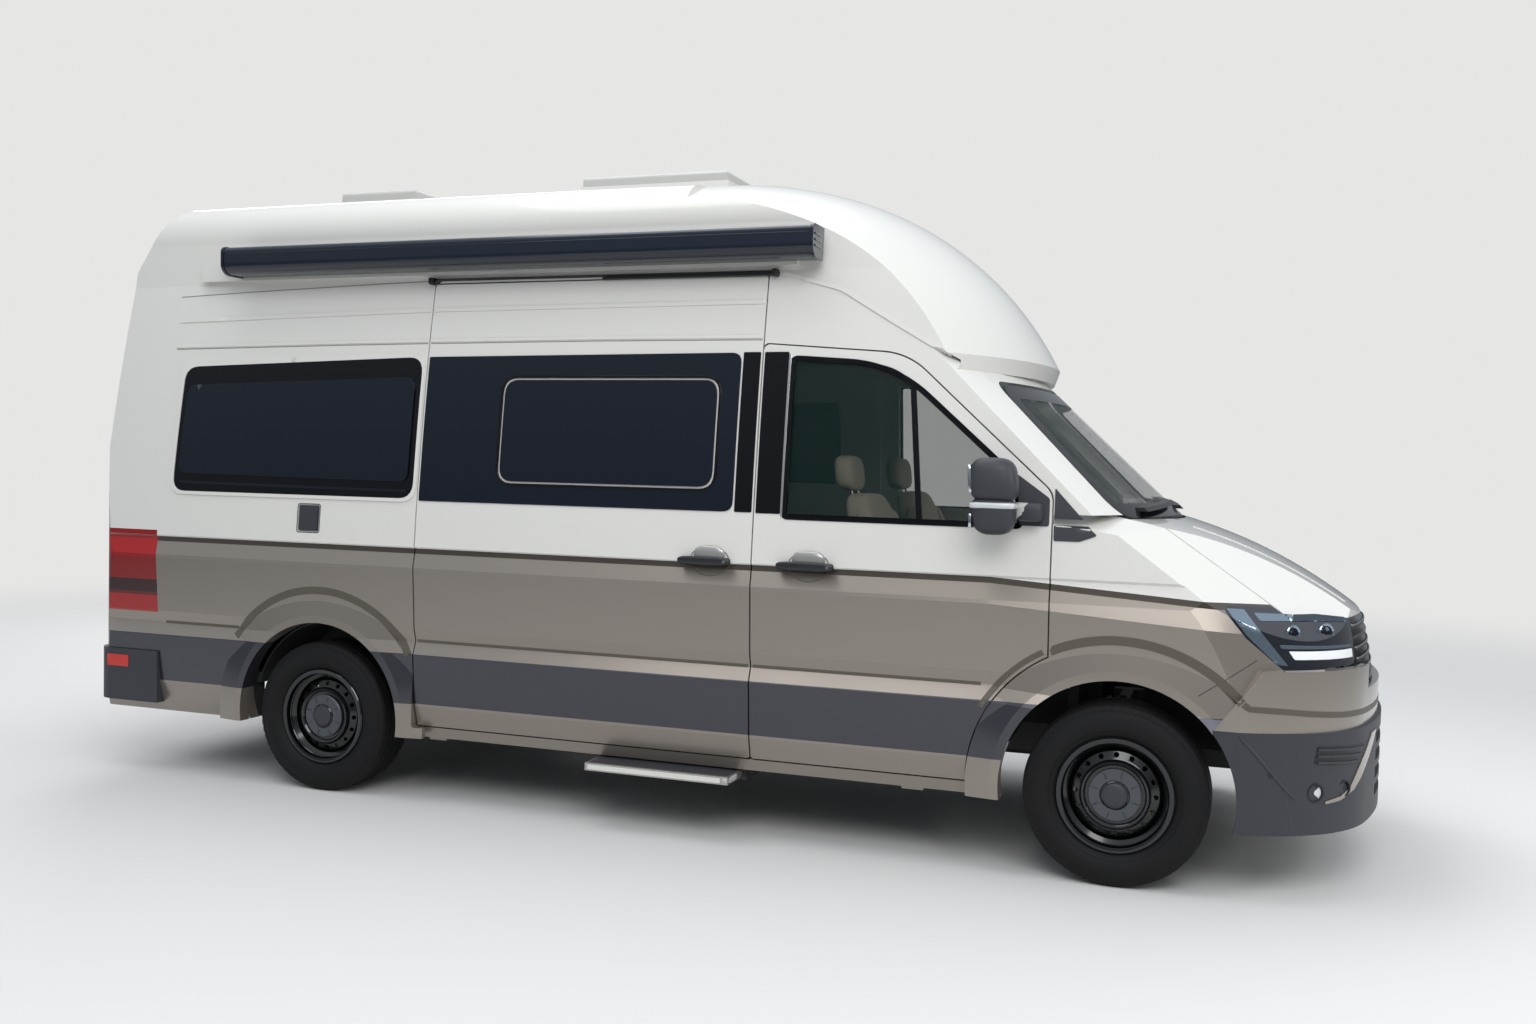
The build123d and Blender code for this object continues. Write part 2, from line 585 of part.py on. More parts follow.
# Floor plate, the rails and inner sills under it and the wheel boxes on it
floor = block((REAR_FACE_X + WALL, DOOR_HINGE_X + 60), (-SILL_HALF, SILL_HALF), (FLOOR_BOTTOM, FLOOR_TOP))
sweep_zone = drum(FRONT_AXLE_X, ARCH_Z, ARCH_RADIUS + 25, -HALF_WIDTH, HALF_WIDTH)
sweep_zone -= block((1000, 3000), (-RAIL_Y - RAIL_WIDTH, RAIL_Y + RAIL_WIDTH), (0, 900))
boxes = []
rails = []
for side in (-1, 1):
    limits = sorted((side * BOX_INNER_Y, side * SILL_HALF))
    deep = sorted((side * (BOX_INNER_Y + BOX_WALL), side * (SILL_HALF + 1)))
    inside = drum(REAR_AXLE_X, ARCH_Z, ARCH_RADIUS - BOX_WALL, *deep)
    box = (drum(REAR_AXLE_X, ARCH_Z, ARCH_RADIUS, *limits) - inside) & block((-3000, 0), limits, (FLOOR_TOP, 900))
    floor -= inside
    body_side = parts["body_side_right"] if side < 0 else parts["body_side_left"]
    floor -= body_side
    boxes.append(whole(box - body_side))
    limits = sorted((side * RAIL_Y, side * (RAIL_Y + RAIL_WIDTH)))
    rails.append(block((REAR_FACE_X + WALL, FRONT_AXLE_X + 620), limits, (FLOOR_BOTTOM - RAIL_HEIGHT, FLOOR_BOTTOM)))
    limits = sorted((side * (SILL_HALF - 60), side * SILL_HALF))
    for start, end in ((PILLAR_D_X, REAR_AXLE_X - ARCH_RADIUS), (REAR_AXLE_X + ARCH_RADIUS, SILL_FRONT_X)):
        rails.append(whole(block((start, end), limits, (SILL_BOTTOM, FLOOR_BOTTOM)) - body_side))
floor -= sweep_zone
floor -= parts["rear_frame"]
parts["floor_pan"] = floor
parts["wheel_boxes"] = Compound(children=boxes)
parts["chassis_rails"] = Compound(children=rails)
bulkhead = block((DOOR_HINGE_X + 20, DOOR_HINGE_X + 60), (-SILL_HALF, SILL_HALF), (FLOOR_TOP, BONNET_REAR_Z))
bulkhead = (bulkhead & nose_body(PANEL)) - sweep_zone
parts["bulkhead"] = bulkhead
cowl = (nose_body(PANEL + SEAL_GAP) - nose_body(PANEL + SEAL_GAP + 15)) & (behind_screen(-70) - behind_screen(200))
cowl = cowl & block((DOOR_HINGE_X + 60, 2400), (-BONNET_HALF_WIDTH - SHUT_GAP, BONNET_HALF_WIDTH + SHUT_GAP), (900, 1500))
parts["cowl"] = cowl - steel_body(0)

# Wheels
WHEEL_Y = TRACK / 2
AXLE_PLANE = Plane(origin=(0, 0, 0), x_dir=(0, 1, 0), z_dir=(1, 0, 0))
BEAD = 88
FLANGE_RADIUS = 222
TREAD_HALF = 88
GROOVE_WIDTH = 10
GROOVE_DEPTH = 9
HUB_FACE = 66
DISC = 7
TREAD_GROOVES = (-52, -17, 17, 52)
WHEEL_HOLES = 16
WHEEL_HOLE_CIRCLE = 151
WHEEL_HOLE_RADIUS = 10


def tyre():
    """Tyre round the Y axis with its shoulders and tread grooves"""
    half = TYRE_WIDTH / 2
    lines = [Line((-BEAD, RIM_RADIUS + 2), (BEAD, RIM_RADIUS + 2))]
    for side in (-1, 1):
        lines.append(Line((side * BEAD, RIM_RADIUS + 2), (side * BEAD, FLANGE_RADIUS + 3)))
        lines.append(ThreePointArc((side * BEAD, FLANGE_RADIUS + 3), (side * half, 272), (side * 106, 326)))
        lines.append(ThreePointArc((side * 106, 326), (side * 101, 342), (side * TREAD_HALF, TYRE_RADIUS - 1.5)))
    tread = [(-TREAD_HALF, TYRE_RADIUS - 1.5)]
    for middle in TREAD_GROOVES:
        tread.append((middle - GROOVE_WIDTH / 2, TYRE_RADIUS))
        tread.append((middle - GROOVE_WIDTH / 2 + 1, TYRE_RADIUS - GROOVE_DEPTH))
        tread.append((middle + GROOVE_WIDTH / 2 - 1, TYRE_RADIUS - GROOVE_DEPTH))
        tread.append((middle + GROOVE_WIDTH / 2, TYRE_RADIUS))
    tread.append((TREAD_HALF, TYRE_RADIUS - 1.5))
    lines.append(Polyline(*tread))
    return revolve(AXLE_PLANE * make_face(lines), Axis.Y)


def rim():
    """Pressed steel wheel with its cap, its outer side towards -Y"""
    well = RIM_RADIUS - 26
    barrel = closed((
        (-96, FLANGE_RADIUS), (-BEAD - 0.5, FLANGE_RADIUS), (-BEAD - 0.5, RIM_RADIUS + 1.7), (-66, RIM_RADIUS + 1.7),
        (-50, well + 7), (-10, well + 7), (6, RIM_RADIUS + 1.7), (BEAD + 0.5, RIM_RADIUS + 1.7),
        (BEAD + 0.5, FLANGE_RADIUS), (96, FLANGE_RADIUS), (96, RIM_RADIUS - 4), (4, RIM_RADIUS - 4), (-8, well),
        (-52, well), (-68, RIM_RADIUS - 4), (-96, RIM_RADIUS - 4)))
    disc = closed((
        (-34, well + 2), (-52, 164), (-62, 138), (-HUB_FACE - DISC, 118), (-HUB_FACE - DISC, 96),
        (-HUB_FACE - DISC - 9, 84), (-HUB_FACE - DISC - 12, 46), (-HUB_FACE - DISC - 22, 42), (-HUB_FACE - DISC - 24, 0),
        (-HUB_FACE, 0), (-HUB_FACE, 115), (-55, 134), (-45, 160), (-27, well + 2)))
    wheel = revolve(AXLE_PLANE * barrel, Axis.Y) + revolve(AXLE_PLANE * disc, Axis.Y)
    for index in range(WHEEL_HOLES):
        wheel -= Rot(0, index * 360 / WHEEL_HOLES, 0) * drum(0, WHEEL_HOLE_CIRCLE, WHEEL_HOLE_RADIUS, -90, -20)
    return wheel


one_tyre = tyre()
one_rim = rim()
for end, axle_x in (("front", FRONT_AXLE_X), ("rear", REAR_AXLE_X)):
    for hand, side in (("right", -1), ("left", 1)):
        turn = Rot(0, 0, 0) if side < 0 else Rot(0, 0, 180)
        place = Pos(axle_x, side * WHEEL_Y, TYRE_RADIUS)
        parts[f"tyre_{end}_{hand}"] = place * turn * one_tyre
        parts[f"rim_{end}_{hand}"] = place * turn * one_rim

# Steering knuckles: an upright strut inboard of the tyre, an arm and the hub
KINGPIN_Y = WHEEL_Y - KINGPIN_INBOARD
STRUT_RADIUS = 14
STRUT_LOW = 190
STRUT_HIGH = 700
PIN_CLEARANCE = 0.3
EYE_RADIUS = 30
EYE_HEIGHT = 26
hub_end = WHEEL_Y + HUB_FACE - PIN_CLEARANCE
knuckle = Pos(FRONT_AXLE_X, -KINGPIN_Y, (STRUT_LOW + STRUT_HIGH) / 2) * Cylinder(STRUT_RADIUS, STRUT_HIGH - STRUT_LOW)
knuckle += Pos(FRONT_AXLE_X, -KINGPIN_Y, 520) * Cylinder(26, 240)
knuckle += block((FRONT_AXLE_X - 40, FRONT_AXLE_X + 40), (-WHEEL_Y + 20, -KINGPIN_Y + 20),
                 (TYRE_RADIUS - 70, TYRE_RADIUS + 70))
knuckle += drum(FRONT_AXLE_X, TYRE_RADIUS, HUB_RADIUS, -hub_end, -KINGPIN_Y)
knuckle += drum(FRONT_AXLE_X, TYRE_RADIUS, 148, -WHEEL_Y - 4, -WHEEL_Y + 24)
parts["knuckle_right"] = knuckle
parts["knuckle_left"] = mirrored(knuckle)

# Front subframe: cross beam, lower arms and strut towers
ARM_Z = STRUT_LOW + EYE_HEIGHT
TOWER_Z = STRUT_HIGH - EYE_HEIGHT
RAIL_BOTTOM = FLOOR_BOTTOM - RAIL_HEIGHT
arm_eye = Pos(FRONT_AXLE_X, -KINGPIN_Y, ARM_Z) * Cylinder(EYE_RADIUS, EYE_HEIGHT)
tower_eye = Pos(FRONT_AXLE_X, -KINGPIN_Y, TOWER_Z) * Cylinder(EYE_RADIUS, EYE_HEIGHT)
arm = along_z(closed((
    (FRONT_AXLE_X - 190, -RAIL_Y), (FRONT_AXLE_X + 190, -RAIL_Y), (FRONT_AXLE_X + 24, -KINGPIN_Y - 10),
    (FRONT_AXLE_X - 24, -KINGPIN_Y - 10))), ARM_Z - 10, ARM_Z + 10)
tower = block((FRONT_AXLE_X - 22, FRONT_AXLE_X + 22), (-KINGPIN_Y, -RAIL_Y), (TOWER_Z - 10, TOWER_Z + 10))
tower += block((FRONT_AXLE_X - 60, FRONT_AXLE_X + 60), (-RAIL_Y - 30, -RAIL_Y), (FLOOR_BOTTOM, TOWER_Z + 10))
strut_hole = Pos(FRONT_AXLE_X, -KINGPIN_Y, 450) * Cylinder(STRUT_RADIUS + PIN_CLEARANCE, 700)
side_frame = arm + arm_eye + tower + tower_eye
side_frame += block((FRONT_AXLE_X - 200, FRONT_AXLE_X + 200), (-RAIL_Y - RAIL_WIDTH, -RAIL_Y), (ARM_Z - 10, RAIL_BOTTOM))
side_frame -= strut_hole
subframe = side_frame + mirrored(side_frame)
subframe += block((FRONT_AXLE_X - 200, FRONT_AXLE_X + 200), (-RAIL_Y - 5, RAIL_Y + 5), (RAIL_BOTTOM - 60, RAIL_BOTTOM))
for side in (-1, 1):
    limits = sorted((side * RAIL_Y, side * (RAIL_Y - 30)))
    subframe += block((FRONT_AXLE_X - 60, FRONT_AXLE_X + 60), limits, (RAIL_BOTTOM - 10, TOWER_Z + 10))
parts["front_subframe"] = subframe

# Rear beam axle on leaf springs
SPRING_HALF = 620
beam = drum(REAR_AXLE_X, TYRE_RADIUS, 38, -hub_end, hub_end)
for side in (-1, 1):
    limits = sorted((side * (WHEEL_Y - 24), side * (WHEEL_Y + 4)))
    beam += drum(REAR_AXLE_X, TYRE_RADIUS, 140, *limits)
    strip = make_face([
        ThreePointArc((-SPRING_HALF, 372), (0, 300), (SPRING_HALF, 372)),
        ThreePointArc((-SPRING_HALF, 386), (0, 316), (SPRING_HALF, 386)),
        Line((-SPRING_HALF, 372), (-SPRING_HALF, 386)),
        Line((SPRING_HALF, 372), (SPRING_HALF, 386))])
    limits = sorted((side * (RAIL_Y + 5), side * (RAIL_Y + RAIL_WIDTH - 5)))
    beam += Pos(REAR_AXLE_X, 0, 0) * along_y(strip, *limits)
    for end in (-1, 1):
        middle = REAR_AXLE_X + end * (SPRING_HALF - 25)
        beam += block((middle - 25, middle + 25), limits, (370, RAIL_BOTTOM))
parts["rear_axle"] = beam

# Under the floor
EXHAUST_Y = -200
EXHAUST_Z = 350
exhaust = Pos(240, EXHAUST_Y, EXHAUST_Z) * Rot(0, 90, 0) * Cylinder(28, 3100)
exhaust += Pos(-300, EXHAUST_Y, EXHAUST_Z) * Rot(0, 90, 0) * Cylinder(95, 700)
for x in (1300, 200, -1000):
    exhaust += block((x - 15, x + 15), (EXHAUST_Y - 15, EXHAUST_Y + 15), (EXHAUST_Z, FLOOR_BOTTOM))
parts["exhaust"] = exhaust
tank = block((150, 1150), (RAIL_Y + RAIL_WIDTH + 20, SILL_HALF - 80), (255, FLOOR_BOTTOM))
parts["fuel_tank"] = fillet(tank.edges().filter_by(Axis.X), 40)
parts["engine"] = block((FRONT_AXLE_X + 40, FRONT_AXLE_X + 540), (-330, 330), (RAIL_BOTTOM, 1000))

# Cab: two seats, dashboard and steering wheel
SEAT_Y = 450
SEAT_X = 900


def seat():
    """Cab seat: box base, cushion, raked back and headrest in one closed form"""
    side = closed((
        (0, FLOOR_TOP), (400, FLOOR_TOP), (430, 760), (520, 800), (520, 890), (120, 860), (-60, 1420), (-50, 1450),
        (-80, 1640), (-180, 1640), (-190, 1420), (-70, 860), (0, 760)))
    return along_y(side, -240, 240)


parts["cab_seats"] = Compound(children=[Pos(SEAT_X, side * SEAT_Y, 0) * seat() for side in (-1, 1)])
dash = along_y(closed(((DOOR_HINGE_X + 20, 900), (DOOR_HINGE_X + 20, 1330), (1500, 1290), (1440, 1180), (1500, 960)),
                      radius=15), -880, 880)
parts["dashboard"] = dash
STEERING_Y = 430
wheel_ring = Torus(185, 15) + Cylinder(55, 30) + Box(350, 30, 12) + Pos(0, 0, -120) * Cylinder(22, 240)
parts["steering_wheel"] = (Pos(1400, STEERING_Y, 1150) * Rot(0, -60, 0) * wheel_ring) - dash

# Awning along the right gutter: adapter, case and its two end caps
adapter = along_x(body_section(-ADAPTER) - body_section(0), AWNING_REAR - 250, AWNING_FRONT - 100)
adapter = adapter & block((-3000, 1000), (-HALF_WIDTH, -700), (AWNING_BOTTOM - 14, AWNING_TOP - 45))
parts["awning_adapter"] = adapter
case_face = make_face(FilletPolyline(
    (-800, AWNING_BOTTOM), (-AWNING_Y, AWNING_BOTTOM), (-AWNING_Y, AWNING_TOP), (-800, AWNING_TOP),
    radius=[1, 52, 24, 1], close=True))
backing = along_x(body_section(-ADAPTER), -3000, 1000)
cap_face = offset(case_face, amount=4)
case = along_x(case_face, AWNING_REAR, AWNING_FRONT)
case += along_x(cap_face, AWNING_REAR - AWNING_CAP, AWNING_REAR)
case += along_x(cap_face, AWNING_FRONT, AWNING_FRONT + AWNING_CAP)
parts["awning_case"] = case - backing

# Entry step that slides out of a housing under the sill
step_hull = block((STEP_REAR - 15, STEP_FRONT + 15), (-SILL_HALF + 4, -460), (STEP_LOW - 12, SILL_BOTTOM))
step_slot = block((STEP_REAR, STEP_FRONT), (-SILL_HALF, -440), (STEP_LOW, STEP_HIGH))
parts["step_housing"] = step_hull - step_slot
step = block((STEP_REAR + SEAL_GAP, STEP_FRONT - SEAL_GAP), (-STEP_REACH, -520),
             (STEP_LOW + SEAL_GAP, STEP_HIGH - SEAL_GAP))
parts["entry_step"] = step

# Mirrors
housing = block((1440, 1622), (-MIRROR_REACH, -1050), (1338, 1632))
housing = fillet(housing.edges(), 38)
foot = block((1600, 1702), (-1075, -900), (1392, 1462)) - steel_body(0)
mirror_right = housing + foot
parts["mirror_right"] = mirror_right
parts["mirror_left"] = mirrored(mirror_right)

# Tail: bumper and corner lamps
tail_form = block((-HALF_LENGTH, PILLAR_D_X - SHUT_GAP), (-HALF_WIDTH + 4, HALF_WIDTH - 4), (345, 600))
tail_form = fillet(tail_form.edges().filter_by(Axis.Z).group_by(Axis.X)[0], REAR_CORNER_RADIUS)
parts["rear_bumper"] = tail_form - steel_body(0)
lamp_box = block((REAR_FACE_X - 60, PILLAR_D_X - 14), (-HALF_WIDTH - 10, -REAR_DOOR_HALF - 25), (792, 1198))
tail_lamp = (skin - steel_body(TAIL_LAMP_DEPTH)) & lamp_box
parts["rear_frame"] = parts["rear_frame"] - tail_lamp - mirrored(tail_lamp)
parts["tail_lamps"] = Compound(children=[whole(tail_lamp), whole(mirrored(tail_lamp))])

# Roof vents: frames on the roof and hinged lids
roof_form = roof_body(0)
frames = []
for x, y, half_x, half_y in ROOF_VENTS:
    ring = block((x - half_x - 40, x + half_x + 40), (y - half_y - 40, y + half_y + 40), (2800, VENT_FRAME_TOP))
    ring -= block((x - half_x, x + half_x), (y - half_y, y + half_y), (2700, HEIGHT))
    frames.append(whole(ring - roof_form))
parts["roof_vents"] = Compound(children=frames)
for name, (x, y, half_x, half_y) in zip(("vent_lid_large", "vent_lid_small"), ROOF_VENTS):
    lid = block((x - half_x - 30, x + half_x + 30), (y - half_y - 30, y + half_y + 30), (VENT_FRAME_TOP + SEAL_GAP, HEIGHT))
    parts[name] = fillet(lid.edges().group_by(Axis.Z)[-1], 18)

# Wiper arms lying along the foot of the windscreen
wipers = []
for foot_y in (-640, 60):
    strip = closed(((foot_y, 1432), (foot_y + 560, 1462), (foot_y + 560, 1474), (foot_y, 1448)))
    arm = along_x(strip, 1700, 2400) & (behind_screen(-26) - behind_screen(-0.3))
    wipers.append(whole(arm))
parts["wiper_arms"] = Compound(children=wipers)

os.makedirs("parts", exist_ok=True)
for name, shape in parts.items():
    export_step(whole(shape), f"parts/{name}.step")
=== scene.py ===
import bmesh
import bpy
import math
from functools import lru_cache
from mathutils import Matrix, Vector
from mathutils.bvhtree import BVHTree
from mathutils.geometry import delaunay_2d_cdt


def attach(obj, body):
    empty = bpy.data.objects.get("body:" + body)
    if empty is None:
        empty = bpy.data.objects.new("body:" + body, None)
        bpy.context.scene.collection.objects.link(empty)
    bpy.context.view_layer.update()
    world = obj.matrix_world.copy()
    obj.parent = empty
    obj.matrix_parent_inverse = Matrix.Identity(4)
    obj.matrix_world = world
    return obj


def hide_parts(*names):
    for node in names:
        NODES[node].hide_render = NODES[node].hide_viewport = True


# Camper van with a high roof. Metres, +X to the nose, +Y to the left side, +Z up.
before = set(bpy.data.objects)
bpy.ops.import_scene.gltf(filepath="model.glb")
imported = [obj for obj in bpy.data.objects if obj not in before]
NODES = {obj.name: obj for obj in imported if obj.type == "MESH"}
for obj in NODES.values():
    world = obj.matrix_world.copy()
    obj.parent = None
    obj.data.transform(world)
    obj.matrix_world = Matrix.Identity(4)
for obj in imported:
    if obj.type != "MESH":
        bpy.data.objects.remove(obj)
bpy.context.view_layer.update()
MM = 0.001
HANDS = (("right", -1), ("left", 1))
link = bpy.context.scene.collection.objects.link

# Heights of the paint's bands, and of the crease above the dark one
BELT_Z = 1.169
DARK_TOP_Z = 0.681
DARK_FOOT_Z = 0.452
# Height of the band of painted shade in the groove under the white
GROOVE_HEIGHT = 0.024
LOW_CREASE_Z = DARK_TOP_Z + 0.066
# The white's lower edge falls from here towards the lamps, this much a metre
SPLIT_BEND_X = 1.5
SPLIT_FALL = 0.068

# Wheels and their arches
FRONT_AXLE_X = 1.997
REAR_AXLE_X = -1.643
WHEEL_Y = 0.879
AXLE_Z = 0.352
ARCH_Z = 0.358


def linear(hex_colour):
    """sRGB hex as linear red, green, blue, alpha"""
    values = [int(hex_colour[i:i + 2], 16) / 255 for i in (1, 3, 5)]
    return tuple(v / 12.92 if v <= 0.04045 else ((v + 0.055) / 1.055) ** 2.4 for v in values) + (1.0,)


def add(tree, kind, settings=None, **inputs):
    """Adds a shader node with its settings; an input is a value or another node's output"""
    made = tree.nodes.new(kind)
    for name, value in (settings or {}).items():
        setattr(made, name, value)
    for name, value in inputs.items():
        numbered = name[0] == "i" and name[1:].isdigit()
        socket = made.inputs[int(name[1:]) if numbered else name.replace("_", " ")]
        if isinstance(value, bpy.types.NodeSocket):
            tree.links.new(value, socket)
        else:
            socket.default_value = value
    return made


def material(name, **look):
    """Node material whose shader takes the look's values; returns the material, its tree and its shader"""
    made = bpy.data.materials.new(name)
    made.use_nodes = True
    tree = made.node_tree
    tree.nodes.clear()
    shader = add(tree, "ShaderNodeBsdfPrincipled", **look)
    add(tree, "ShaderNodeOutputMaterial", Surface=shader.outputs[0])
    return made, tree, shader


def simple(name, colour, rough, metallic=0.0, coat=0.0, grain=None, vary=0.03, spec=0.5):
    """One finish with a slight change of tone, an optional grain (size and depth in mm) and reflectivity"""
    made, tree, shader = material(name, Roughness=rough, Metallic=metallic, Coat_Weight=coat,
                                  Specular_IOR_Level=spec)
    place = add(tree, "ShaderNodeTexCoord").outputs["Object"]
    cloud = add(tree, "ShaderNodeTexNoise", Vector=place, Scale=3.0, Detail=3.0)
    tone = add(tree, "ShaderNodeMapRange", Value=cloud.outputs["Fac"], To_Min=1 - vary, To_Max=1 + vary)
    hsv = add(tree, "ShaderNodeHueSaturation", Value=tone.outputs[0], Color=linear(colour))
    tree.links.new(hsv.outputs[0], shader.inputs["Base Color"])
    if grain:
        size_mm, depth_mm = grain
        noise = add(tree, "ShaderNodeTexNoise", Vector=place, Scale=1000 / size_mm, Detail=2.0)
        bump = add(tree, "ShaderNodeBump", Height=noise.outputs["Fac"], Distance=depth_mm * MM)
        tree.links.new(bump.outputs[0], shader.inputs["Normal"])
    return made


def glass(name, colour, alpha, rough=0.02):
    """Thin pane: tint by alpha, so that what is behind it shows"""
    return material(name, Base_Color=linear(colour), Roughness=rough, Alpha=alpha, IOR=1.5)[0]


def level_bands(tree, height, top, stops):
    """Ramp of flat colours that change at levels below a top height"""
    scaled = add(tree, "ShaderNodeMath", {"operation": "DIVIDE"}, i0=height, i1=top)
    ramp = add(tree, "ShaderNodeValToRGB", i0=scaled.outputs[0])
    ramp.color_ramp.interpolation = "CONSTANT"
    elements = ramp.color_ramp.elements
    elements[0].color = linear(stops[0][1])
    elements[1].position = 1.0
    elements[1].color = linear(stops[-1][1])
    for level, colour in stops[1:]:
        elements.new(level / top).color = linear(colour)
    return ramp.outputs[0]


def banded_lens(name, stops):
    """Lens moulded in level bands of colour: heights in metres and their colours"""
    made, tree, shader = material(name, Roughness=0.08, Coat_Weight=0.5)
    place = add(tree, "ShaderNodeTexCoord")
    xyz = add(tree, "ShaderNodeSeparateXYZ", Vector=place.outputs["Object"])
    tree.links.new(level_bands(tree, xyz.outputs["Z"], 2.0, stops), shader.inputs["Base Color"])
    return made


def band_paint():
    """Baked body paint: solid white over warm silver metallic, an anthracite band and a silver sill, with a
    band of painted shade in the groove under the white
    """
    made, tree, shader = material("two_tone_body_paint", Roughness=0.32, Coat_Weight=0.7, Coat_Roughness=0.05)
    place = add(tree, "ShaderNodeTexCoord")
    xyz = add(tree, "ShaderNodeSeparateXYZ", Vector=place.outputs["Object"])
    level = xyz.outputs["Z"]
    ahead = add(tree, "ShaderNodeMapRange", {"clamp": False}, Value=xyz.outputs["X"], From_Min=SPLIT_BEND_X,
                From_Max=SPLIT_BEND_X + 1, To_Max=SPLIT_FALL)
    fall = add(tree, "ShaderNodeMath", {"operation": "MAXIMUM"}, i0=ahead.outputs[0], i1=0.0)
    height = add(tree, "ShaderNodeMath", {"operation": "ADD"}, i0=level, i1=fall.outputs[0]).outputs[0]
    bands = level_bands(tree, level, 1.3, ((0.0, SILVER), (DARK_FOOT_Z, ANTHRACITE), (DARK_TOP_Z, SILVER)))
    white = add(tree, "ShaderNodeMath", {"operation": "GREATER_THAN"}, i0=height, i1=BELT_Z)
    # Painted shade: a dark band just under the white, where the groove lies in shade
    groove = add(tree, "ShaderNodeMath", {"operation": "GREATER_THAN"}, i0=height, i1=BELT_Z - GROOVE_HEIGHT)
    lower = add(tree, "ShaderNodeMix", {"data_type": "RGBA"}, i0=groove.outputs[0], i6=bands,
                i7=linear(SHADOW_LINE))
    upper = add(tree, "ShaderNodeMix", {"data_type": "RGBA"}, i0=white.outputs[0], i6=lower.outputs[2],
                i7=linear(WHITE))
    tree.links.new(upper.outputs[2], shader.inputs["Base Color"])
    metal = add(tree, "ShaderNodeMath", {"operation": "LESS_THAN"}, i0=height, i1=BELT_Z)
    flakes = add(tree, "ShaderNodeMath", {"operation": "MULTIPLY"}, i0=metal.outputs[0], i1=0.6)
    tree.links.new(flakes.outputs[0], shader.inputs["Metallic"])
    # Facets pressed into the panels lean back: one below the groove and one above the dark band
    ranges = ((BELT_Z - 0.105, BELT_Z - GROOVE_HEIGHT, -0.03), (DARK_TOP_Z, DARK_TOP_Z + 0.06, -0.026))
    facets = [add(tree, "ShaderNodeMapRange", Value=height, From_Min=low, From_Max=high, To_Max=lean)
              for low, high, lean in ranges]
    both = add(tree, "ShaderNodeMath", {"operation": "ADD"}, i0=facets[0].outputs[0],
               i1=facets[1].outputs[0])
    press = add(tree, "ShaderNodeBump", Height=both.outputs[0], Distance=1.0)
    tree.links.new(press.outputs[0], shader.inputs["Normal"])
    return made


WHITE = "#DCDBD6"
SILVER = "#8D857C"
ANTHRACITE = "#3B3B43"
# Colour of the painted shade in the groove under the white
SHADOW_LINE = "#4A433B"

# Sprayed and baked body paint under lacquer: even colour with a sharp highlight over it
paint = band_paint()
white_paint = simple("white_body_paint", WHITE, 0.3, coat=1.0, vary=0.01)
silver_paint = simple("silver_metallic_paint", SILVER, 0.32, 0.55, 1.0, vary=0.02)
moulding_white = simple("white_moulding", WHITE, 0.35, coat=0.5)
# Painted shade in a groove and along a crease, duller and darker as light doesn't reach them, and the dark
# seal of a shut line
painted_groove_shade = simple("shadow_groove_paint", "#5B544B", 0.45, 0.2, vary=0.02)
painted_crease_shade = simple("crease_line_paint", "#8E8C88", 0.5)
line_dark = simple("shut_line_seal", "#3A3A3C", 0.6)
# Gelcoat from a mould: soft highlights that waver on the laminate, 30 mm apart
gelcoat = simple("white_gelcoat", "#DAD9D4", 0.28, coat=0.6, grain=(30.0, 0.15), vary=0.012)
# Injection moulded plastic with a texture: broad highlights that break up on the grain
dark_moulding = simple("grained_dark_plastic", "#36373D", 0.5, grain=(1.6, 0.12), spec=0.4)
black_plastic = simple("black_plastic", "#17181A", 0.42, grain=(1.5, 0.1))
light_grey_plastic = simple("light_grey_plastic", "#B9B9B6", 0.45)
handle_dark = simple("handle_black_plastic", "#1E2024", 0.35)
# Polished, lacquered or painted plastic: clear reflections on black, a soft sheen on silver and grey
gloss_black = simple("gloss_black_plastic", "#0D0F12", 0.12)
trim_black = simple("gloss_black_trim", "#06080C", 0.1, spec=0.3)
handle_silver = simple("silver_painted_plastic", "#A7A5A3", 0.3, 0.5, 0.6)
cap_grey = simple("satin_grey_wheel_cap", "#4B4E53", 0.38, 0.3)
plate_white = simple("blank_white_plate", "#D9D9D4", 0.4)
# Powder-coated and anodised aluminium: a smooth dark shell, a greyer rail and bare pale metal
awning_paint = simple("powder_coated_aluminium", "#0E1828", 0.22, coat=0.3, spec=0.5)
awning_band = simple("grey_awning_rail", "#3A4048", 0.3, 0.4)
alloy = simple("anodised_aluminium", "#B4B2AC", 0.35, 0.9)
# Cured rubber: nearly black and dull, with a fine pitted skin
rubber = simple("tyre_rubber", "#141415", 0.7, grain=(2.0, 0.15), spec=0.25)
# Stove-painted, polished and plated steel: dark gloss, dark metal glints and a mirror-bright line
wheel_paint = simple("black_wheel_paint", "#08090A", 0.16, coat=0.3, spec=0.5)
polished_black = simple("polished_black_steel", "#25272B", 0.14, 0.7, 0.6)
chrome = simple("bright_chrome", "#D8D8D8", 0.08, 1.0)
# Dipped steel and sand-cast iron underneath: dull, with a coarse skin
chassis = simple("coated_chassis_steel", "#2A2B2C", 0.6, grain=(5.0, 0.2))
cast_iron = simple("cast_iron", "#3B3A39", 0.7, 0.6, grain=(3.0, 0.3))
# Woven seat cloth and its piping: no highlight, threads drawn 2.5 mm apart so that they show
cloth = simple("woven_seat_cloth", "#B9AE9B", 0.85, grain=(2.5, 0.4))
piping = simple("seat_seam_piping", "#8C8374", 0.75)
# Toughened glass: the cab shows through a green tint, and the living space doesn't show
clear_glass = glass("tinted_safety_glass", "#16302F", 0.26)
dark_glass = glass("privacy_glass", "#0B1018", 0.985, 0.03)
band_glass = simple("bonded_dark_glass", "#0A1220", 0.05, vary=0.01, spec=0.4)
mirror_glass = simple("mirror_glass", "#C9D2D6", 0.02, 1.0)
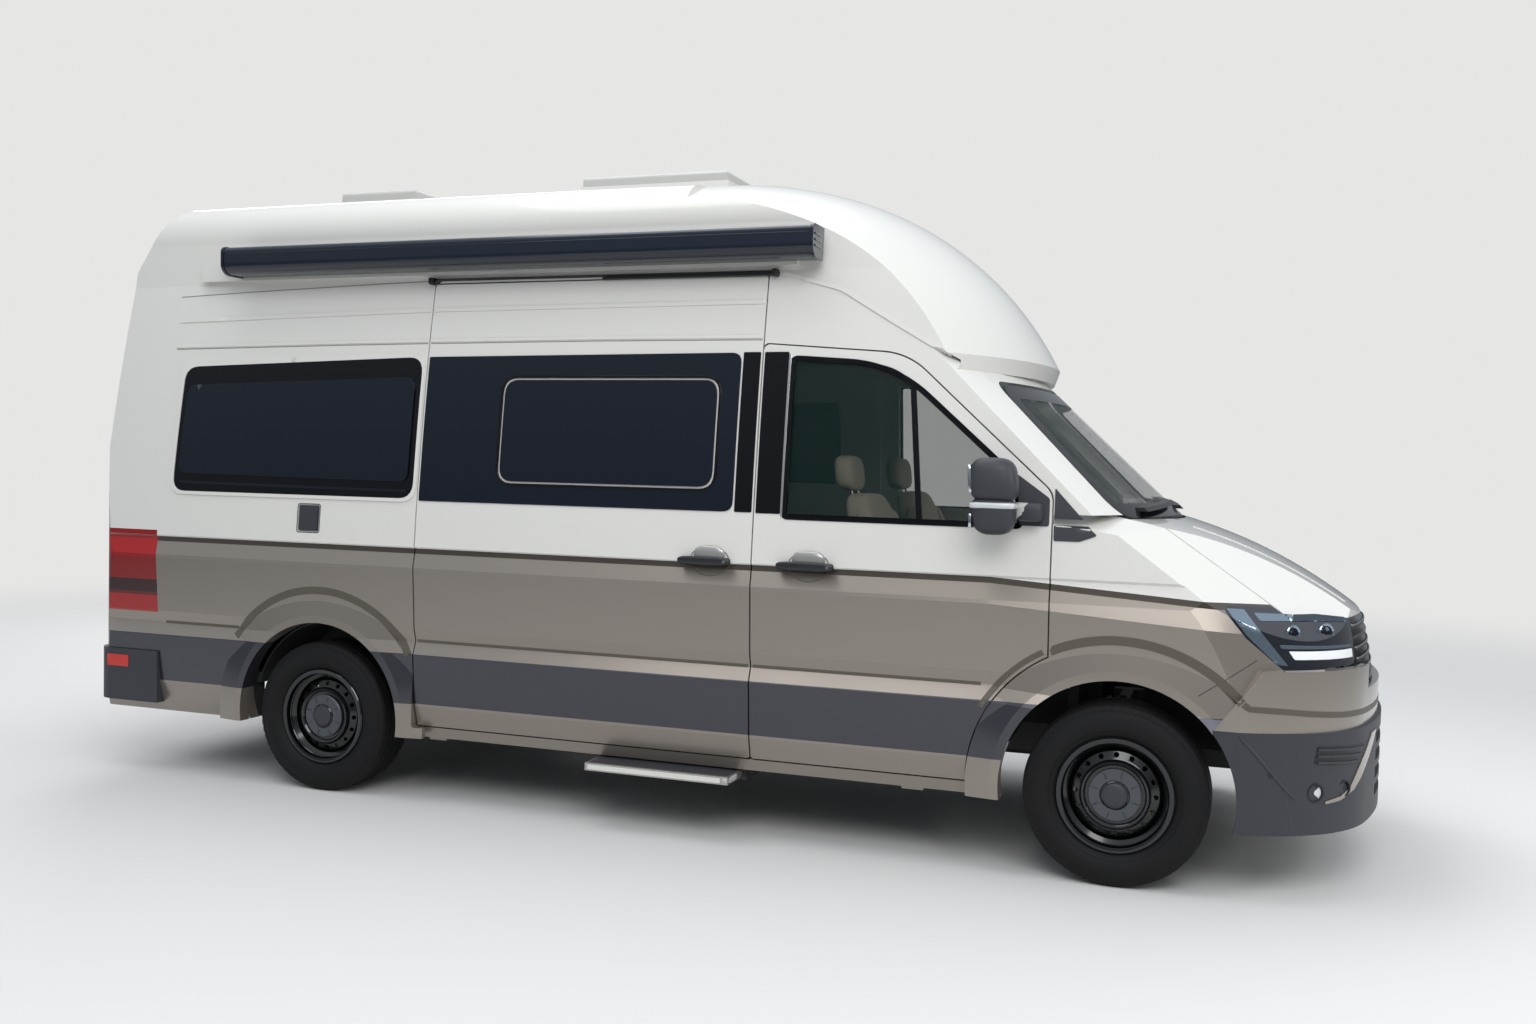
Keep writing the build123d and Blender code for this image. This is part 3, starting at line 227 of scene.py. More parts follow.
# Lamps in moulded acrylic over silvered bowls: deep colour or a bright edge under a wet gloss
red_lens = banded_lens("red_lamp_lens", (
    (0.0, "#9A0D0F"), (0.868, "#5A070B"), (0.885, "#2A0306"), (0.95, "#7E0A0E"), (1.06, "#8E0C10"),
    (1.075, "#A61214"), (1.15, "#8A0B0F")))
dark_red = simple("dark_red_lamp_lens", "#3E0507", 0.06, coat=0.5)
reflector_red = simple("red_reflector", "#C02A1D", 0.18, coat=0.4)
clear_strip = simple("clear_indicator_strip", "#C9CDD0", 0.12, coat=0.4)
lamp_white = simple("white_light_guide", "#F1F3F4", 0.2)
lamp_bowl = simple("silvered_lamp_bowl", "#8FA0AE", 0.08, 0.9)
lamp_dark = simple("dark_lamp_housing", "#10161F", 0.07, coat=0.8)

# Finishes of the CAD nodes by name or first word; the ones not named here wear the body paint
FINISHED_NODES = (
    (clear_glass, "windscreen front_door_glass_right front_door_glass_left"),
    (dark_glass, "sliding_door_glass side_windows rear_door_glass_right rear_door_glass_left"),
    (lamp_dark, "headlamps"), (red_lens, "tail_lamps"), (gloss_black, "grille"),
    (white_paint, "bonnet cab_header"), (silver_paint, "upper_bumper"),
    (gelcoat, "high_roof awning_adapter roof_vents"),
    (dark_moulding, "lower_bumper rear_bumper mirror socket_flap"),
    (black_plastic, "cowl wiper_arms fuel_tank dashboard steering_wheel"),
    (light_grey_plastic, "vent"), (awning_paint, "awning_case"), (alloy, "entry_step"), (cloth, "cab_seats"),
    (chassis, "step_housing floor_pan front_subframe rear_axle exhaust bulkhead wheel_boxes chassis_rails"),
    (cast_iron, "engine knuckle"), (rubber, "tyre"), (wheel_paint, "rim"))
NODE_FINISH = {name: finish for finish, names in FINISHED_NODES for name in names.split()}
for name, obj in NODES.items():
    obj.data.materials.clear()
    obj.data.materials.append(NODE_FINISH.get(name) or NODE_FINISH.get(name.split("_")[0], paint))

# Nodes that make up the outside, and the ones that single details lie on
SKIN = ("body_side_right", "body_side_left", "sliding_door", "sliding_door_glass", "side_windows",
        "front_door_right", "front_door_left", "front_door_glass_right", "front_door_glass_left",
        "rear_frame", "rear_door_right", "rear_door_left", "rear_door_glass_right", "rear_door_glass_left",
        "front_wings", "high_roof", "bonnet", "upper_bumper", "lower_bumper", "rear_bumper", "headlamps",
        "grille", "tail_lamps", "windscreen", "cab_header", "socket_flap")
AWNING = ("awning_case",)
STEP = ("entry_step",)
LAMP = ("headlamps",)
BUMPER = ("lower_bumper", "upper_bumper")

# For each way of looking: where a ray starts, from the drawing's two coordinates, and which way it runs
VIEWS = {
    "right": (lambda a, b: Vector((a, -3, b)), Vector((0, 1, 0))),
    "left": (lambda a, b: Vector((a, 3, b)), Vector((0, -1, 0))),
    "front": (lambda a, b: Vector((5, a, b)), Vector((-1, 0, 0))),
    "rear": (lambda a, b: Vector((-5, a, b)), Vector((1, 0, 0))),
    "top": (lambda a, b: Vector((a, b, 5)), Vector((0, 0, -1))),
    "nose_corner": (lambda a, b: Vector((4, -4, b)) + Vector((a, a, 0)) * math.sqrt(0.5),
                    Vector((-1, 1, 0)).normalized()),
}


@lru_cache(None)
def target(names):
    """Ray target made of the named nodes' meshes"""
    points, faces = [], []
    for name in names:
        obj = NODES[name]
        start = len(points)
        points.extend(obj.matrix_world @ v.co for v in obj.data.vertices)
        faces.extend([start + i for i in p.vertices] for p in obj.data.polygons)
    return BVHTree.FromPolygons(points, faces)


def touch(a, b, names=SKIN, view="right"):
    """Point of the CAD surface under a place of the drawing"""
    start_of, way = VIEWS[view]
    return target(names).ray_cast(start_of(a, b), way)[0]


def rounded(points, radius, steps=5):
    """Closed outline with its corners rounded"""
    radii = radius if isinstance(radius, list) else [radius] * len(points)
    out = []
    for i, point in enumerate(points):
        here, before, after = Vector(point), Vector(points[i - 1]), Vector(points[(i + 1) % len(points)])
        a, b = (before - here), (after - here)
        cut = min(radii[i], a.length * 0.45, b.length * 0.45)
        first, last = here + a.normalized() * cut, here + b.normalized() * cut
        for k in range(steps + 1):
            t = k / steps
            out.append((1 - t) ** 2 * first + 2 * t * (1 - t) * here + t * t * last)
    return [tuple(p) for p in out]


def box_outline(x0, x1, z0, z1, radius):
    """Rounded rectangle as an outline"""
    return rounded([(x0, z0), (x1, z0), (x1, z1), (x0, z1)], radius)


def arc(x, z, radius, start, end, steps=28):
    """Points on a circle in side view, angles in degrees from straight ahead"""
    turns = [math.radians(start + (end - start) * k / steps) for k in range(steps + 1)]
    return [(x + radius * math.cos(turn), z + radius * math.sin(turn)) for turn in turns]


def dense(points, step, closed=True):
    """Outline with points added so that no edge is longer than a step"""
    corners = [Vector(p) for p in points]
    out = []
    for a, b in zip(corners, corners[1:] + corners[:1] if closed else corners[1:]):
        parts = max(1, math.ceil((b - a).length / step))
        out.extend(tuple(a + (b - a) * k / parts) for k in range(parts))
    return out if closed else out + [tuple(corners[-1])]


def inside(point, loop):
    """Whether a point lies in a closed outline"""
    x, y = point
    found = False
    for i in range(len(loop)):
        (x1, y1), (x2, y2) = loop[i - 1], loop[i]
        if (y1 > y) != (y2 > y) and x < (x2 - x1) * (y - y1) / (y2 - y1) + x1:
            found = not found
    return found


def size_of(loop):
    """Area of a closed outline"""
    return abs(sum(loop[i - 1][0] * loop[i][1] - loop[i][0] * loop[i - 1][1] for i in range(len(loop)))) / 2


def shade(name, mesh, finish, body="root", bevel=0.0, angle=35):
    """Object of a mesh with its material, smooth faces and soft edges, riding on a body"""
    obj = bpy.data.objects.new(name, mesh)
    mesh.materials.append(finish)
    for polygon in mesh.polygons:
        polygon.use_smooth = True
    link(obj)
    if bevel:
        soft = obj.modifiers.new("soft_edges", "BEVEL")
        soft.width = bevel
        soft.segments = 2
        soft.limit_method = "ANGLE"
        soft.angle_limit = math.radians(angle)
    mesh.set_sharp_from_angle(angle=math.radians(angle))
    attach(obj, body)
    return obj


def finished(made, name, *look, **more):
    """Shaded object of a mesh under construction"""
    bmesh.ops.recalc_face_normals(made, faces=made.faces)
    mesh = bpy.data.meshes.new(name)
    made.to_mesh(mesh)
    made.free()
    return shade(name, mesh, *look, **more)


def fill_outline(loop, holes, step):
    """Flat triangles in an outline without its holes, with inner points a step apart"""
    flat = [Vector(p) for p in loop]
    edges = []
    for hole in holes:
        start = len(flat)
        flat.extend(Vector(p) for p in hole)
        edges.extend((start + i, start + (i + 1) % len(hole)) for i in range(len(hole)))
    low = Vector([min(column) for column in zip(*loop)])
    size = Vector([max(column) for column in zip(*loop)]) - low
    across, along = int(size.x / step) + 1, int(size.y / step) + 1
    for i in range(1, across):
        for k in range(1, along):
            p = (low.x + i * size.x / across, low.y + k * size.y / along)
            if inside(p, loop):
                flat.append(Vector(p))
    verts, _, faces, _, _, _ = delaunay_2d_cdt(flat, edges, [list(range(len(loop)))], 1, 1e-6)

    def kept(face):
        middle = sum((verts[i] for i in face), Vector((0, 0))) / len(face)
        return not any(inside(middle, hole) for hole in holes)

    return verts, [face for face in faces if kept(face)]


def patch(name, outline, finish, view="right", names=SKIN, out=0.002, thick=0.004, holes=(), step=0.04,
          bevel=0.0008, body="root"):
    """Sheet that follows the CAD surface under an outline, at a distance outside it, with a thickness"""
    verts, faces = fill_outline(dense(outline, step), [dense(hole, step) for hole in holes], step)
    start_of, way = VIEWS[view]
    hits = [touch(*p, names, view) for p in verts]
    depth = [None if hit is None else (hit - start_of(*p)).dot(way) for p, hit in zip(verts, hits)]
    known = [i for i, d in enumerate(depth) if d is not None]
    for i, d in enumerate(depth):
        if d is None:
            near = min(known, key=lambda k: (verts[k] - verts[i]).length_squared)
            depth[i] = depth[near]
    top = [start_of(*p) + way * (d - out) for p, d in zip(verts, depth)]
    made = bmesh.new()
    tops = [made.verts.new(p) for p in top]
    backs = [made.verts.new(p + way * thick) for p in top]
    for f in faces:
        made.faces.new([tops[i] for i in f])
        made.faces.new([backs[i] for i in reversed(f)])
    made.verts.index_update()
    count = len(verts)
    for edge in [e for e in made.edges if len(e.link_faces) == 1]:
        a, b = edge.verts[0].index, edge.verts[1].index
        if a < count and b < count:
            made.faces.new([tops[a], tops[b], backs[b], backs[a]])
    bmesh.ops.delete(made, geom=[v for v in made.verts if not v.link_faces], context="VERTS")
    return finished(made, name, finish, body, bevel)


def ribbon(points, width, closed=False):
    """Both edges of a band of a width along a line of points"""
    left, right = [], []
    count = len(points)
    for i in range(count):
        before = Vector(points[i - 1 if i or closed else i])
        after = Vector(points[(i + 1) % count if i < count - 1 or closed else i])
        run = (after - before).normalized()
        side = Vector((-run.y, run.x)) * width / 2
        left.append(tuple(Vector(points[i]) + side))
        right.append(tuple(Vector(points[i]) - side))
    return left, right


def strip(name, points, width, finish, view="right", step=0.04, **more):
    """Band along an open line on the CAD surface"""
    left, right = ribbon(dense(points, step, False), width)
    return patch(name, left + right[::-1], finish, view, step=step, **more)


def frame_strip(name, points, width, finish, view="right", step=0.04, **more):
    """Band round a closed line on the CAD surface"""
    inner, outer = sorted(ribbon(dense(points, step), width, True), key=size_of)
    return patch(name, outer, finish, view, holes=(inner,), step=step, **more)


def solid_box(name, low, high, finish, body="root", bevel=0.002):
    """Box between two corners"""
    made = bmesh.new()
    bmesh.ops.create_cube(made, size=1)
    middle = (Vector(low) + Vector(high)) / 2
    size = Vector(high) - Vector(low)
    for v in made.verts:
        v.co = v.co * size + middle
    return finished(made, name, finish, body, bevel)


def lathe(name, profile, place, axis, finish, body="root", steps=48):
    """Ring or disc turned round an axis from points of distance along it and radius"""
    made = bmesh.new()
    turn = Vector((0, 0, 1)).rotation_difference(Vector(axis))
    rows = []
    for i in range(steps):
        angle = 2 * math.pi * i / steps
        spots = [Vector((r * math.cos(angle), r * math.sin(angle), h)) for h, r in profile]
        rows.append([made.verts.new(Vector(place) + turn @ spot) for spot in spots])
    is_ring = profile[0][1] > 0
    for i in range(steps):
        a, b = rows[i], rows[(i + 1) % steps]
        for k in range(0 if is_ring else 1, len(profile)):
            made.faces.new([a[k - 1], b[k - 1], b[k], a[k]])
    bmesh.ops.remove_doubles(made, verts=made.verts, dist=1e-6)
    return finished(made, name, finish, body)


def tube(name, points, radius, finish, body="root"):
    """Round bar along a line of points"""
    curve = bpy.data.curves.new(name, "CURVE")
    curve.dimensions = "3D"
    curve.bevel_depth = radius
    curve.bevel_resolution = 3
    curve.use_fill_caps = True
    line = curve.splines.new("POLY")
    line.points.add(len(points) - 1)
    for place, point in zip(line.points, points):
        place.co = (*point, 1)
    source = bpy.data.objects.new(name + "_line", curve)
    link(source)
    mesh = bpy.data.meshes.new_from_object(source.evaluated_get(bpy.context.evaluated_depsgraph_get()))
    bpy.data.objects.remove(source)
    bpy.data.curves.remove(curve)
    mesh.name = name
    return shade(name, mesh, finish, body)


def pebble(name, low, high, finish, body="root", power=4.0, steps=(28, 14), lean=0.0, taper=0.0):
    """Closed rounded block between two corners: power squares it, lean and taper change it with height"""
    middle, half = (Vector(low) + Vector(high)) / 2, (Vector(high) - Vector(low)) / 2
    made = bmesh.new()
    rows = []

    def squared(value):
        return math.copysign(abs(value) ** (2 / power), value)

    for i in range(steps[1] + 1):
        up = math.pi * (i / steps[1] - 0.5)
        flat, rise = squared(math.cos(up)), squared(math.sin(up))
        size = 1 - taper * rise
        row = []
        for k in range(steps[0]):
            turn = 2 * math.pi * k / steps[0]
            x = flat * squared(math.cos(turn)) * half.x * size + lean * rise * half.z
            y = flat * squared(math.sin(turn)) * half.y * size
            row.append(made.verts.new(middle + Vector((x, y, rise * half.z))))
        rows.append(row)
    for low_row, high_row in zip(rows, rows[1:]):
        for k in range(steps[0]):
            j = (k + 1) % steps[0]
            made.faces.new([low_row[k], low_row[j], high_row[j], high_row[k]])
    bmesh.ops.remove_doubles(made, verts=made.verts, dist=1e-5)
    return finished(made, name, finish, body, angle=60)


def mirrored(source, body="root"):
    """The same piece on the left side"""
    made = source.copy()
    made.name = source.name.removesuffix("_right") + "_left"
    made.data = source.data.copy()
    made.data.name = made.name
    for vertex in made.data.vertices:
        vertex.co.y = -vertex.co.y
    made.data.flip_normals()
    link(made)
    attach(made, body)


# Dark glass band over the sliding door with its window, and the dark panels beside the shut line
slide_window = box_outline(-0.715, 0.333, 1.472, 1.952, 0.075)
slide_band = rounded([(-1.111, 1.386), (0.417, 1.386), (0.417, 2.054), (-1.111, 2.044)],
                     [0.006, 0.045, 0.045, 0.006])
patch("sliding_door_dark_band", slide_band, band_glass, out=0.004, thick=0.0035, holes=(slide_window,))
patch("sliding_door_window_pane", box_outline(-0.701, 0.319, 1.486, 1.938, 0.065), band_glass, out=0.007,
      thick=0.006)
frame_strip("sliding_door_window_bead", slide_window, 0.012, trim_black, out=0.008, thick=0.009, bevel=0.002)
patch("sliding_door_pillar_panel", box_outline(0.425, 0.502, 1.386, 2.056, 0.006), trim_black, out=0.003,
      thick=0.003)
patch("front_door_pillar_panel", box_outline(0.52, 0.627, 1.384, 2.056, 0.006), trim_black, out=0.003,
      thick=0.003, body="front_door_right")
strip("front_door_chrome_strip", [(0.634, 1.376), (0.634, 2.046)], 0.009, chrome, out=0.006, thick=0.006,
      body="front_door_right")

# Front door windows: seal, divider, and the dark triangles before the mirror, on the wing and on the pillar
GLASS_LINE = rounded([(0.642, 1.374), (0.642, 2.03), (1.08, 2.002), (1.59, 1.554), (1.614, 1.37)],
                     [0.02, 0.03, 0.25, 0.06, 0.02], 10)
for hand, _ in HANDS:
    door = "front_door_" + hand
    frame_strip("front_door_seal_" + hand, GLASS_LINE, 0.024, trim_black, hand, 0.012, names=(door,),
                out=0.003, thick=0.014, body=door)
    strip("front_door_divider_" + hand, [(1.16, 1.912), (1.211, 1.378)], 0.022, trim_black, hand,
          names=("front_door_glass_" + hand,), out=0.01, thick=0.012, body=door)
    mirror_triangle = [(1.611, 1.372), (1.723, 1.372), (1.723, 1.48), (1.593, 1.572)]
    patch("mirror_triangle_" + hand, rounded(mirror_triangle, 0.012), dark_moulding, hand, out=0.004,
          step=0.03, body=door)
    wing_triangle = [(1.742, 1.318), (1.84, 1.318), (1.905, 1.343), (1.87, 1.376), (1.742, 1.38)]
    patch("wing_triangle_" + hand, rounded(wing_triangle, 0.008), dark_moulding, hand, ("front_wings",),
          out=0.004, thick=0.006, step=0.012)
    patch("pillar_triangle_" + hand, rounded([(1.742, 1.402), (1.852, 1.402), (1.742, 1.52)], 0.005),
          dark_moulding, hand, ("body_side_" + hand,), out=0.004, thick=0.006, step=0.012)

# Rear side windows: white surround, black cover, pane and lower ledge
SURROUND = rounded([(-2.537, 1.378), (-1.128, 1.378), (-1.128, 2.06), (-2.521, 2.052)], 0.08)
REAR_BAY = rounded([(-2.521, 1.394), (-1.144, 1.394), (-1.144, 2.044), (-2.503, 2.002)], 0.075)
REAR_COVER = rounded([(-2.519, 1.395), (-1.145, 1.395), (-1.145, 2.043), (-2.501, 2.002)], 0.07)
REAR_PANE = rounded([(-2.489, 1.482), (-1.174, 1.47), (-1.174, 1.952), (-2.472, 1.912)], 0.05)
for hand, _ in HANDS:
    patch("rear_window_surround_" + hand, SURROUND, moulding_white, hand, out=0.006, thick=0.006, bevel=0.003,
          holes=(REAR_BAY,))
    patch("rear_window_cover_" + hand, REAR_COVER, trim_black, hand, out=0.004)
    patch("rear_window_pane_" + hand, REAR_PANE, band_glass, hand, out=0.012, thick=0.008, bevel=0.002)
    strip("rear_window_ledge_" + hand, [(-2.479, 1.438), (-1.179, 1.428)], 0.01, band_glass, hand, out=0.008)

# Left side window
patch("left_window_cover", box_outline(-0.715, 0.333, 1.472, 1.956, 0.065), band_glass, "left", out=0.006,
      thick=0.006)
frame_strip("left_window_bead", box_outline(-0.721, 0.339, 1.466, 1.962, 0.07), 0.014, trim_black, "left",
            out=0.009, thick=0.01, bevel=0.002)


def crease(name, points, hand="right"):
    """Thin grey line of painted shade along a pressed edge"""
    strip(name, points, 0.005, painted_crease_shade, hand, out=0.0008, thick=0.002)


def bead(name, points, width, hand="right", out=0.004):
    """Raised white moulding"""
    strip(name, points, width, moulding_white, hand, out=out, thick=out, bevel=0.003)


# Painted shade lines along the creases and gutter of the upper body, and its mouldings
CREASE_REAR = [(-2.579, 2.09), (-2.072, 2.096), (-1.612, 2.102), (-1.129, 2.106)]
CREASE_DOOR = [(-1.115, 2.106), (-0.254, 2.11), (0.503, 2.108)]
BEAD_RISE = 0.014
for hand, _ in HANDS:
    crease("upper_crease_" + hand, CREASE_REAR, hand)
    bead("upper_bead_" + hand, [(x, z + BEAD_RISE) for x, z in CREASE_REAR], 0.016, hand)
    bead("swage_bead_" + hand, [(-2.579, 2.232), (-1.129, 2.262)], 0.02, hand)
    crease("gutter_line_" + hand, [(-2.589, 2.352), (-2.174, 2.368), (-1.489, 2.389), (-1.129, 2.398)], hand)
    bead("roof_moulding_" + hand, [(0.575, 2.39), (0.833, 2.318), (1.059, 2.181), (1.3, 2.04)], 0.016, hand,
         0.006)
crease("slide_crease", CREASE_DOOR)
bead("slide_bead", [(x, z + BEAD_RISE) for x, z in CREASE_DOOR], 0.016)
bead("slide_swage_bead", [(-1.113, 2.262), (0.503, 2.27)], 0.02)
crease("left_crease", [(-1.115, 2.106), (0.503, 2.108)], "left")
bead("left_swage_bead", [(-1.129, 2.262), (0.503, 2.27)], 0.02, "left")

# Sliding door's upper rail and its ends
strip("slide_rail_top", [(-1.127, 2.394), (0.541, 2.39)], 0.024, black_plastic, out=0.02, thick=0.022,
      bevel=0.005)
for x, z in ((-1.129, 2.394), (0.545, 2.39)):
    solid_box("slide_rail_end_%d" % (x > 0), (x - 0.012, -0.905, z - 0.016), (x + 0.012, -0.862, z + 0.016),
              black_plastic, bevel=0.006)

# Painted shadow round each wheel arch, parted at the front door's shut line, and painted shade lines along
# the low creases
for hand, _ in HANDS:
    door = "front_door_" + hand
    for name, axle, radius, start, end, width, body in (
            ("front_flare_groove_", FRONT_AXLE_X, 0.592, 41, 115.4, 0.034, "root"),
            ("front_door_groove_", FRONT_AXLE_X, 0.6, 118.0, 150, 0.022, door),
            ("rear_flare_groove_", REAR_AXLE_X, 0.592, 33, 144, 0.034, "root")):
        strip(name + hand, arc(axle, ARCH_Z, radius, start, end), width, painted_groove_shade, hand, 0.014, out=0.0022,
              body=body)
    for name, start, end, body in (
            ("tail_crease_", -2.56, -2.118, "root"), ("slide_crease_low_", -1.11, 0.5, "root"),
            ("door_crease_", 0.52, 1.476, door)):
        strip(name + hand, [(start, LOW_CREASE_Z), (end, LOW_CREASE_Z)], 0.012, painted_groove_shade, hand, out=0.0012,
              thick=0.003, body=body)

# Handles at the dark groove: name, bar's rear and front, height of its foot, cup's rear and front, and body
HANDLES = (("slide", 0.189, 0.427, 1.16, 0.255, 0.395, "root"),
           ("front", 0.627, 0.876, 1.156, 0.69, 0.832, "front_door_right"))
for name, rear, front, low, cup_rear, cup_front, body in HANDLES:
    face = touch((rear + front) / 2, low + 0.02).y
    pieces = [
        pebble(name + "_handle_cup", (cup_rear, face - 0.016, low + 0.006),
               (cup_front, face + 0.014, low + 0.082), handle_silver, body, power=2.6),
        pebble(name + "_handle_bar", (rear, face - 0.04, low), (front, face - 0.008, low + 0.038),
               handle_dark, body, power=3.2),
        lathe(name + "_handle_lock", [(0.0, 0.0), (0.0, 0.007), (0.004, 0.006), (0.004, 0.0)],
              (front - 0.024, face - 0.038, low + 0.019), (0, -1, 0), chrome, body, 20)]
    for k, x in enumerate((rear + 0.028, front - 0.028)):
        pieces.append(pebble("%s_handle_foot_%d" % (name, k + 1), (x - 0.022, face - 0.026, low + 0.004),
                             (x + 0.022, face + 0.004, low + 0.034), handle_dark, body))
    # Thin ring of painted shade round the handle's recess
    turns = [math.pi * t / 16 for t in range(32)]
    middle = (cup_rear + cup_front) / 2
    recess = [(middle + 0.088 * math.cos(t), low + 0.018 + 0.062 * math.sin(t)) for t in turns]
    pieces.append(frame_strip(name + "_handle_recess", recess, 0.004, painted_groove_shade, out=0.0008, thick=0.002,
                              body=body))
    if name == "front":
        for piece in pieces:
            mirrored(piece, "front_door_left")

# Mirrors: name, finish, ranges along, outwards and up, then squareness, lean and taper
MIRROR_PARTS = (
    ("mirror_housing_", dark_moulding, 1.442, 1.62, 1.052, 1.213, 1.462, 1.632, 3.4, -0.06, 0.06),
    ("mirror_bowl_", dark_moulding, 1.448, 1.616, 1.056, 1.209, 1.338, 1.486, 3.0, -0.05, -0.1),
    ("mirror_indicator_", clear_strip, 1.444, 1.621, 1.052, 1.213, 1.437, 1.464, 5.0, 0.0, 0.0),
    ("mirror_arm_", light_grey_plastic, 1.56, 1.668, 0.985, 1.075, 1.398, 1.462, 4.0, 0.2, 0.0),
    ("mirror_pane_upper_", mirror_glass, 1.4405, 1.456, 1.072, 1.194, 1.492, 1.606, 7.0, -0.06, 0.0),
    ("mirror_pane_lower_", mirror_glass, 1.4465, 1.46, 1.072, 1.194, 1.362, 1.422, 7.0, 0.0, 0.0),
    ("mirror_foot_", dark_moulding, 1.6, 1.702, 0.93, 1.075, 1.39, 1.462, 5.0, 0.0, 0.0))
for hand, side in HANDS:
    for name, finish, x0, x1, y0, y1, z0, z1, power, lean, taper in MIRROR_PARTS:
        low, high = sorted((side * y0, side * y1))
        part = pebble(name + hand, (x0, low, z0), (x1, high, z1), finish, "front_door_" + hand, power,
                      lean=lean, taper=taper)
        if name == "mirror_housing_":
            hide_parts("mirror_" + hand)

# Depth of the lamp's front end, where the side view misses it
LAMP_FRONT_Y = -0.6


def corner_line(points, names):
    """Side view places moved into the nose corner's drawing through the surface"""
    spots = [touch(x, z, names) or (names == LAMP and Vector((x, LAMP_FRONT_Y, z))) for x, z in points]
    return [((spot.x + spot.y) * math.sqrt(0.5), spot.z) for spot in spots if spot]


def corner_piece(name, points, finish, out, names=BUMPER, radius=0.004, step=0.016, bevel=0.001, **more):
    """Piece on the nose's right corner, drawn in side view, with its twin on the left"""
    outline = rounded(corner_line(dense(points, step), names), radius, 2)
    mirrored(patch(name + "_right", outline, finish, "nose_corner", names, out, step=step, bevel=bevel,
                   **more))


def turned_twins(name, profile, place, axis, finish, steps=32):
    """Disc or ring on the right side with its twin on the left"""
    mirrored(lathe(name + "_right", profile, place, axis, finish, "root", steps))


# Headlamps: silver rear and upper strips, shelf, light guide and two lenses with their rings
for name, finish, out, points in (
        ("lamp_turn_strip", lamp_bowl, 0.002,
         [(2.376, 1.092), (2.438, 1.087), (2.6, 0.884), (2.56, 0.89), (2.457, 0.99)]),
        ("lamp_upper_strip", lamp_bowl, 0.002,
         [(2.472, 1.074), (2.8, 1.05), (2.812, 1.032), (2.497, 1.046)]),
        ("lamp_shelf", lamp_bowl, 0.004, [(2.565, 0.962), (2.826, 0.948), (2.832, 0.938), (2.575, 0.948)]),
        ("lamp_light_guide", lamp_white, 0.0025,
         [(2.6, 0.938), (2.834, 0.93), (2.838, 0.898), (2.622, 0.906)])):
    corner_piece(name, points, finish, out, LAMP, 0.006, 0.014)
LENS_WAY = Vector((0.62, -0.78, 0.08)).normalized()
for index, (x, z, radius) in enumerate(((2.615, 1.0, 0.03), (2.735, 0.998, 0.034))):
    here = touch(x, z, LAMP)
    ring = [(-0.004, radius), (0.003, radius + 0.002), (0.006, radius - 0.002), (0.002, radius - 0.008),
            (-0.004, radius - 0.009)]
    lens = [(-0.006, 0.0), (-0.006, radius - 0.008), (0.002, radius - 0.011), (0.007, radius * 0.45),
            (0.0085, 0.0)]
    turned_twins("lamp_lens_ring_%d" % (index + 1), ring, here + LENS_WAY * 0.001, LENS_WAY, lamp_bowl)
    turned_twins("lamp_lens_%d" % (index + 1), lens, here, LENS_WAY, band_glass)

# Bright edges along the grille's bars
GRILLE_EDGE_Z = 0.802
BAR_PITCH = 0.042
for index in range(1, 6):
    strip("grille_bright_edge_%d" % index,
          [(y, GRILLE_EDGE_Z + index * BAR_PITCH) for y in (-0.545, -0.3, 0.0, 0.3, 0.545)], 0.006, chrome,
          "front", 0.05, names=("grille",), out=0.003, thick=0.008)

# Lower bumper's corners: recess with slats, bright edge, fog lamps and parking sensor
corner_piece("vent_recess", [(2.712, 0.592), (2.898, 0.577), (2.866, 0.51), (2.702, 0.526)], black_plastic,
             0.0015)
for index, z in enumerate((0.58, 0.556, 0.532)):
    slat_end = 2.888 - index * 0.01
    corner_piece("vent_slat_%d" % (index + 1),
                 [(2.712, z + 0.004), (slat_end, z - 0.01), (slat_end, z - 0.019), (2.712, z - 0.005)],
                 dark_moulding, 0.006, radius=0.002, thick=0.006)
corner_piece("bright_corner_edge", [
    (2.942, 0.604), (2.928, 0.56), (2.904, 0.505), (2.878, 0.452), (2.85, 0.412), (2.8, 0.382),
    (2.745, 0.374), (2.743, 0.384), (2.8, 0.396), (2.836, 0.426), (2.854, 0.464), (2.872, 0.502),
    (2.896, 0.55), (2.92, 0.602)], silver_paint, 0.005, radius=0.003, bevel=0.002, thick=0.006)
FOG_LAMPS = ((2.709, 0.419, 0.03, clear_strip), (2.812, 0.424, 0.026, band_glass))
for index, (x, z, radius, finish) in enumerate(FOG_LAMPS):
    here = touch(x, z, BUMPER)
    way = Vector((0.5 + 0.2 * index, -0.8, 0.0)).normalized()
    rim = [(-0.01, radius + 0.006), (0.004, radius + 0.005), (0.005, radius), (-0.003, radius - 0.004),
           (-0.01, radius - 0.004)]
    cover = [(-0.012, 0.0), (-0.012, radius - 0.003), (-0.002, radius - 0.004), (0.001, 0.0)]
    turned_twins("fog_lamp_rim_%d" % (index + 1), rim, here, way, black_plastic)
    turned_twins("fog_lamp_glass_%d" % (index + 1), cover, here, way, finish)
sensor = [(-0.004, 0.012), (0.001, 0.012), (0.001, 0.009), (0.0025, 0.008), (0.003, 0.0)]
turned_twins("parking_sensor", sensor, touch(2.549, 0.489, BUMPER), (0.1, -1, 0), black_plastic, 24)
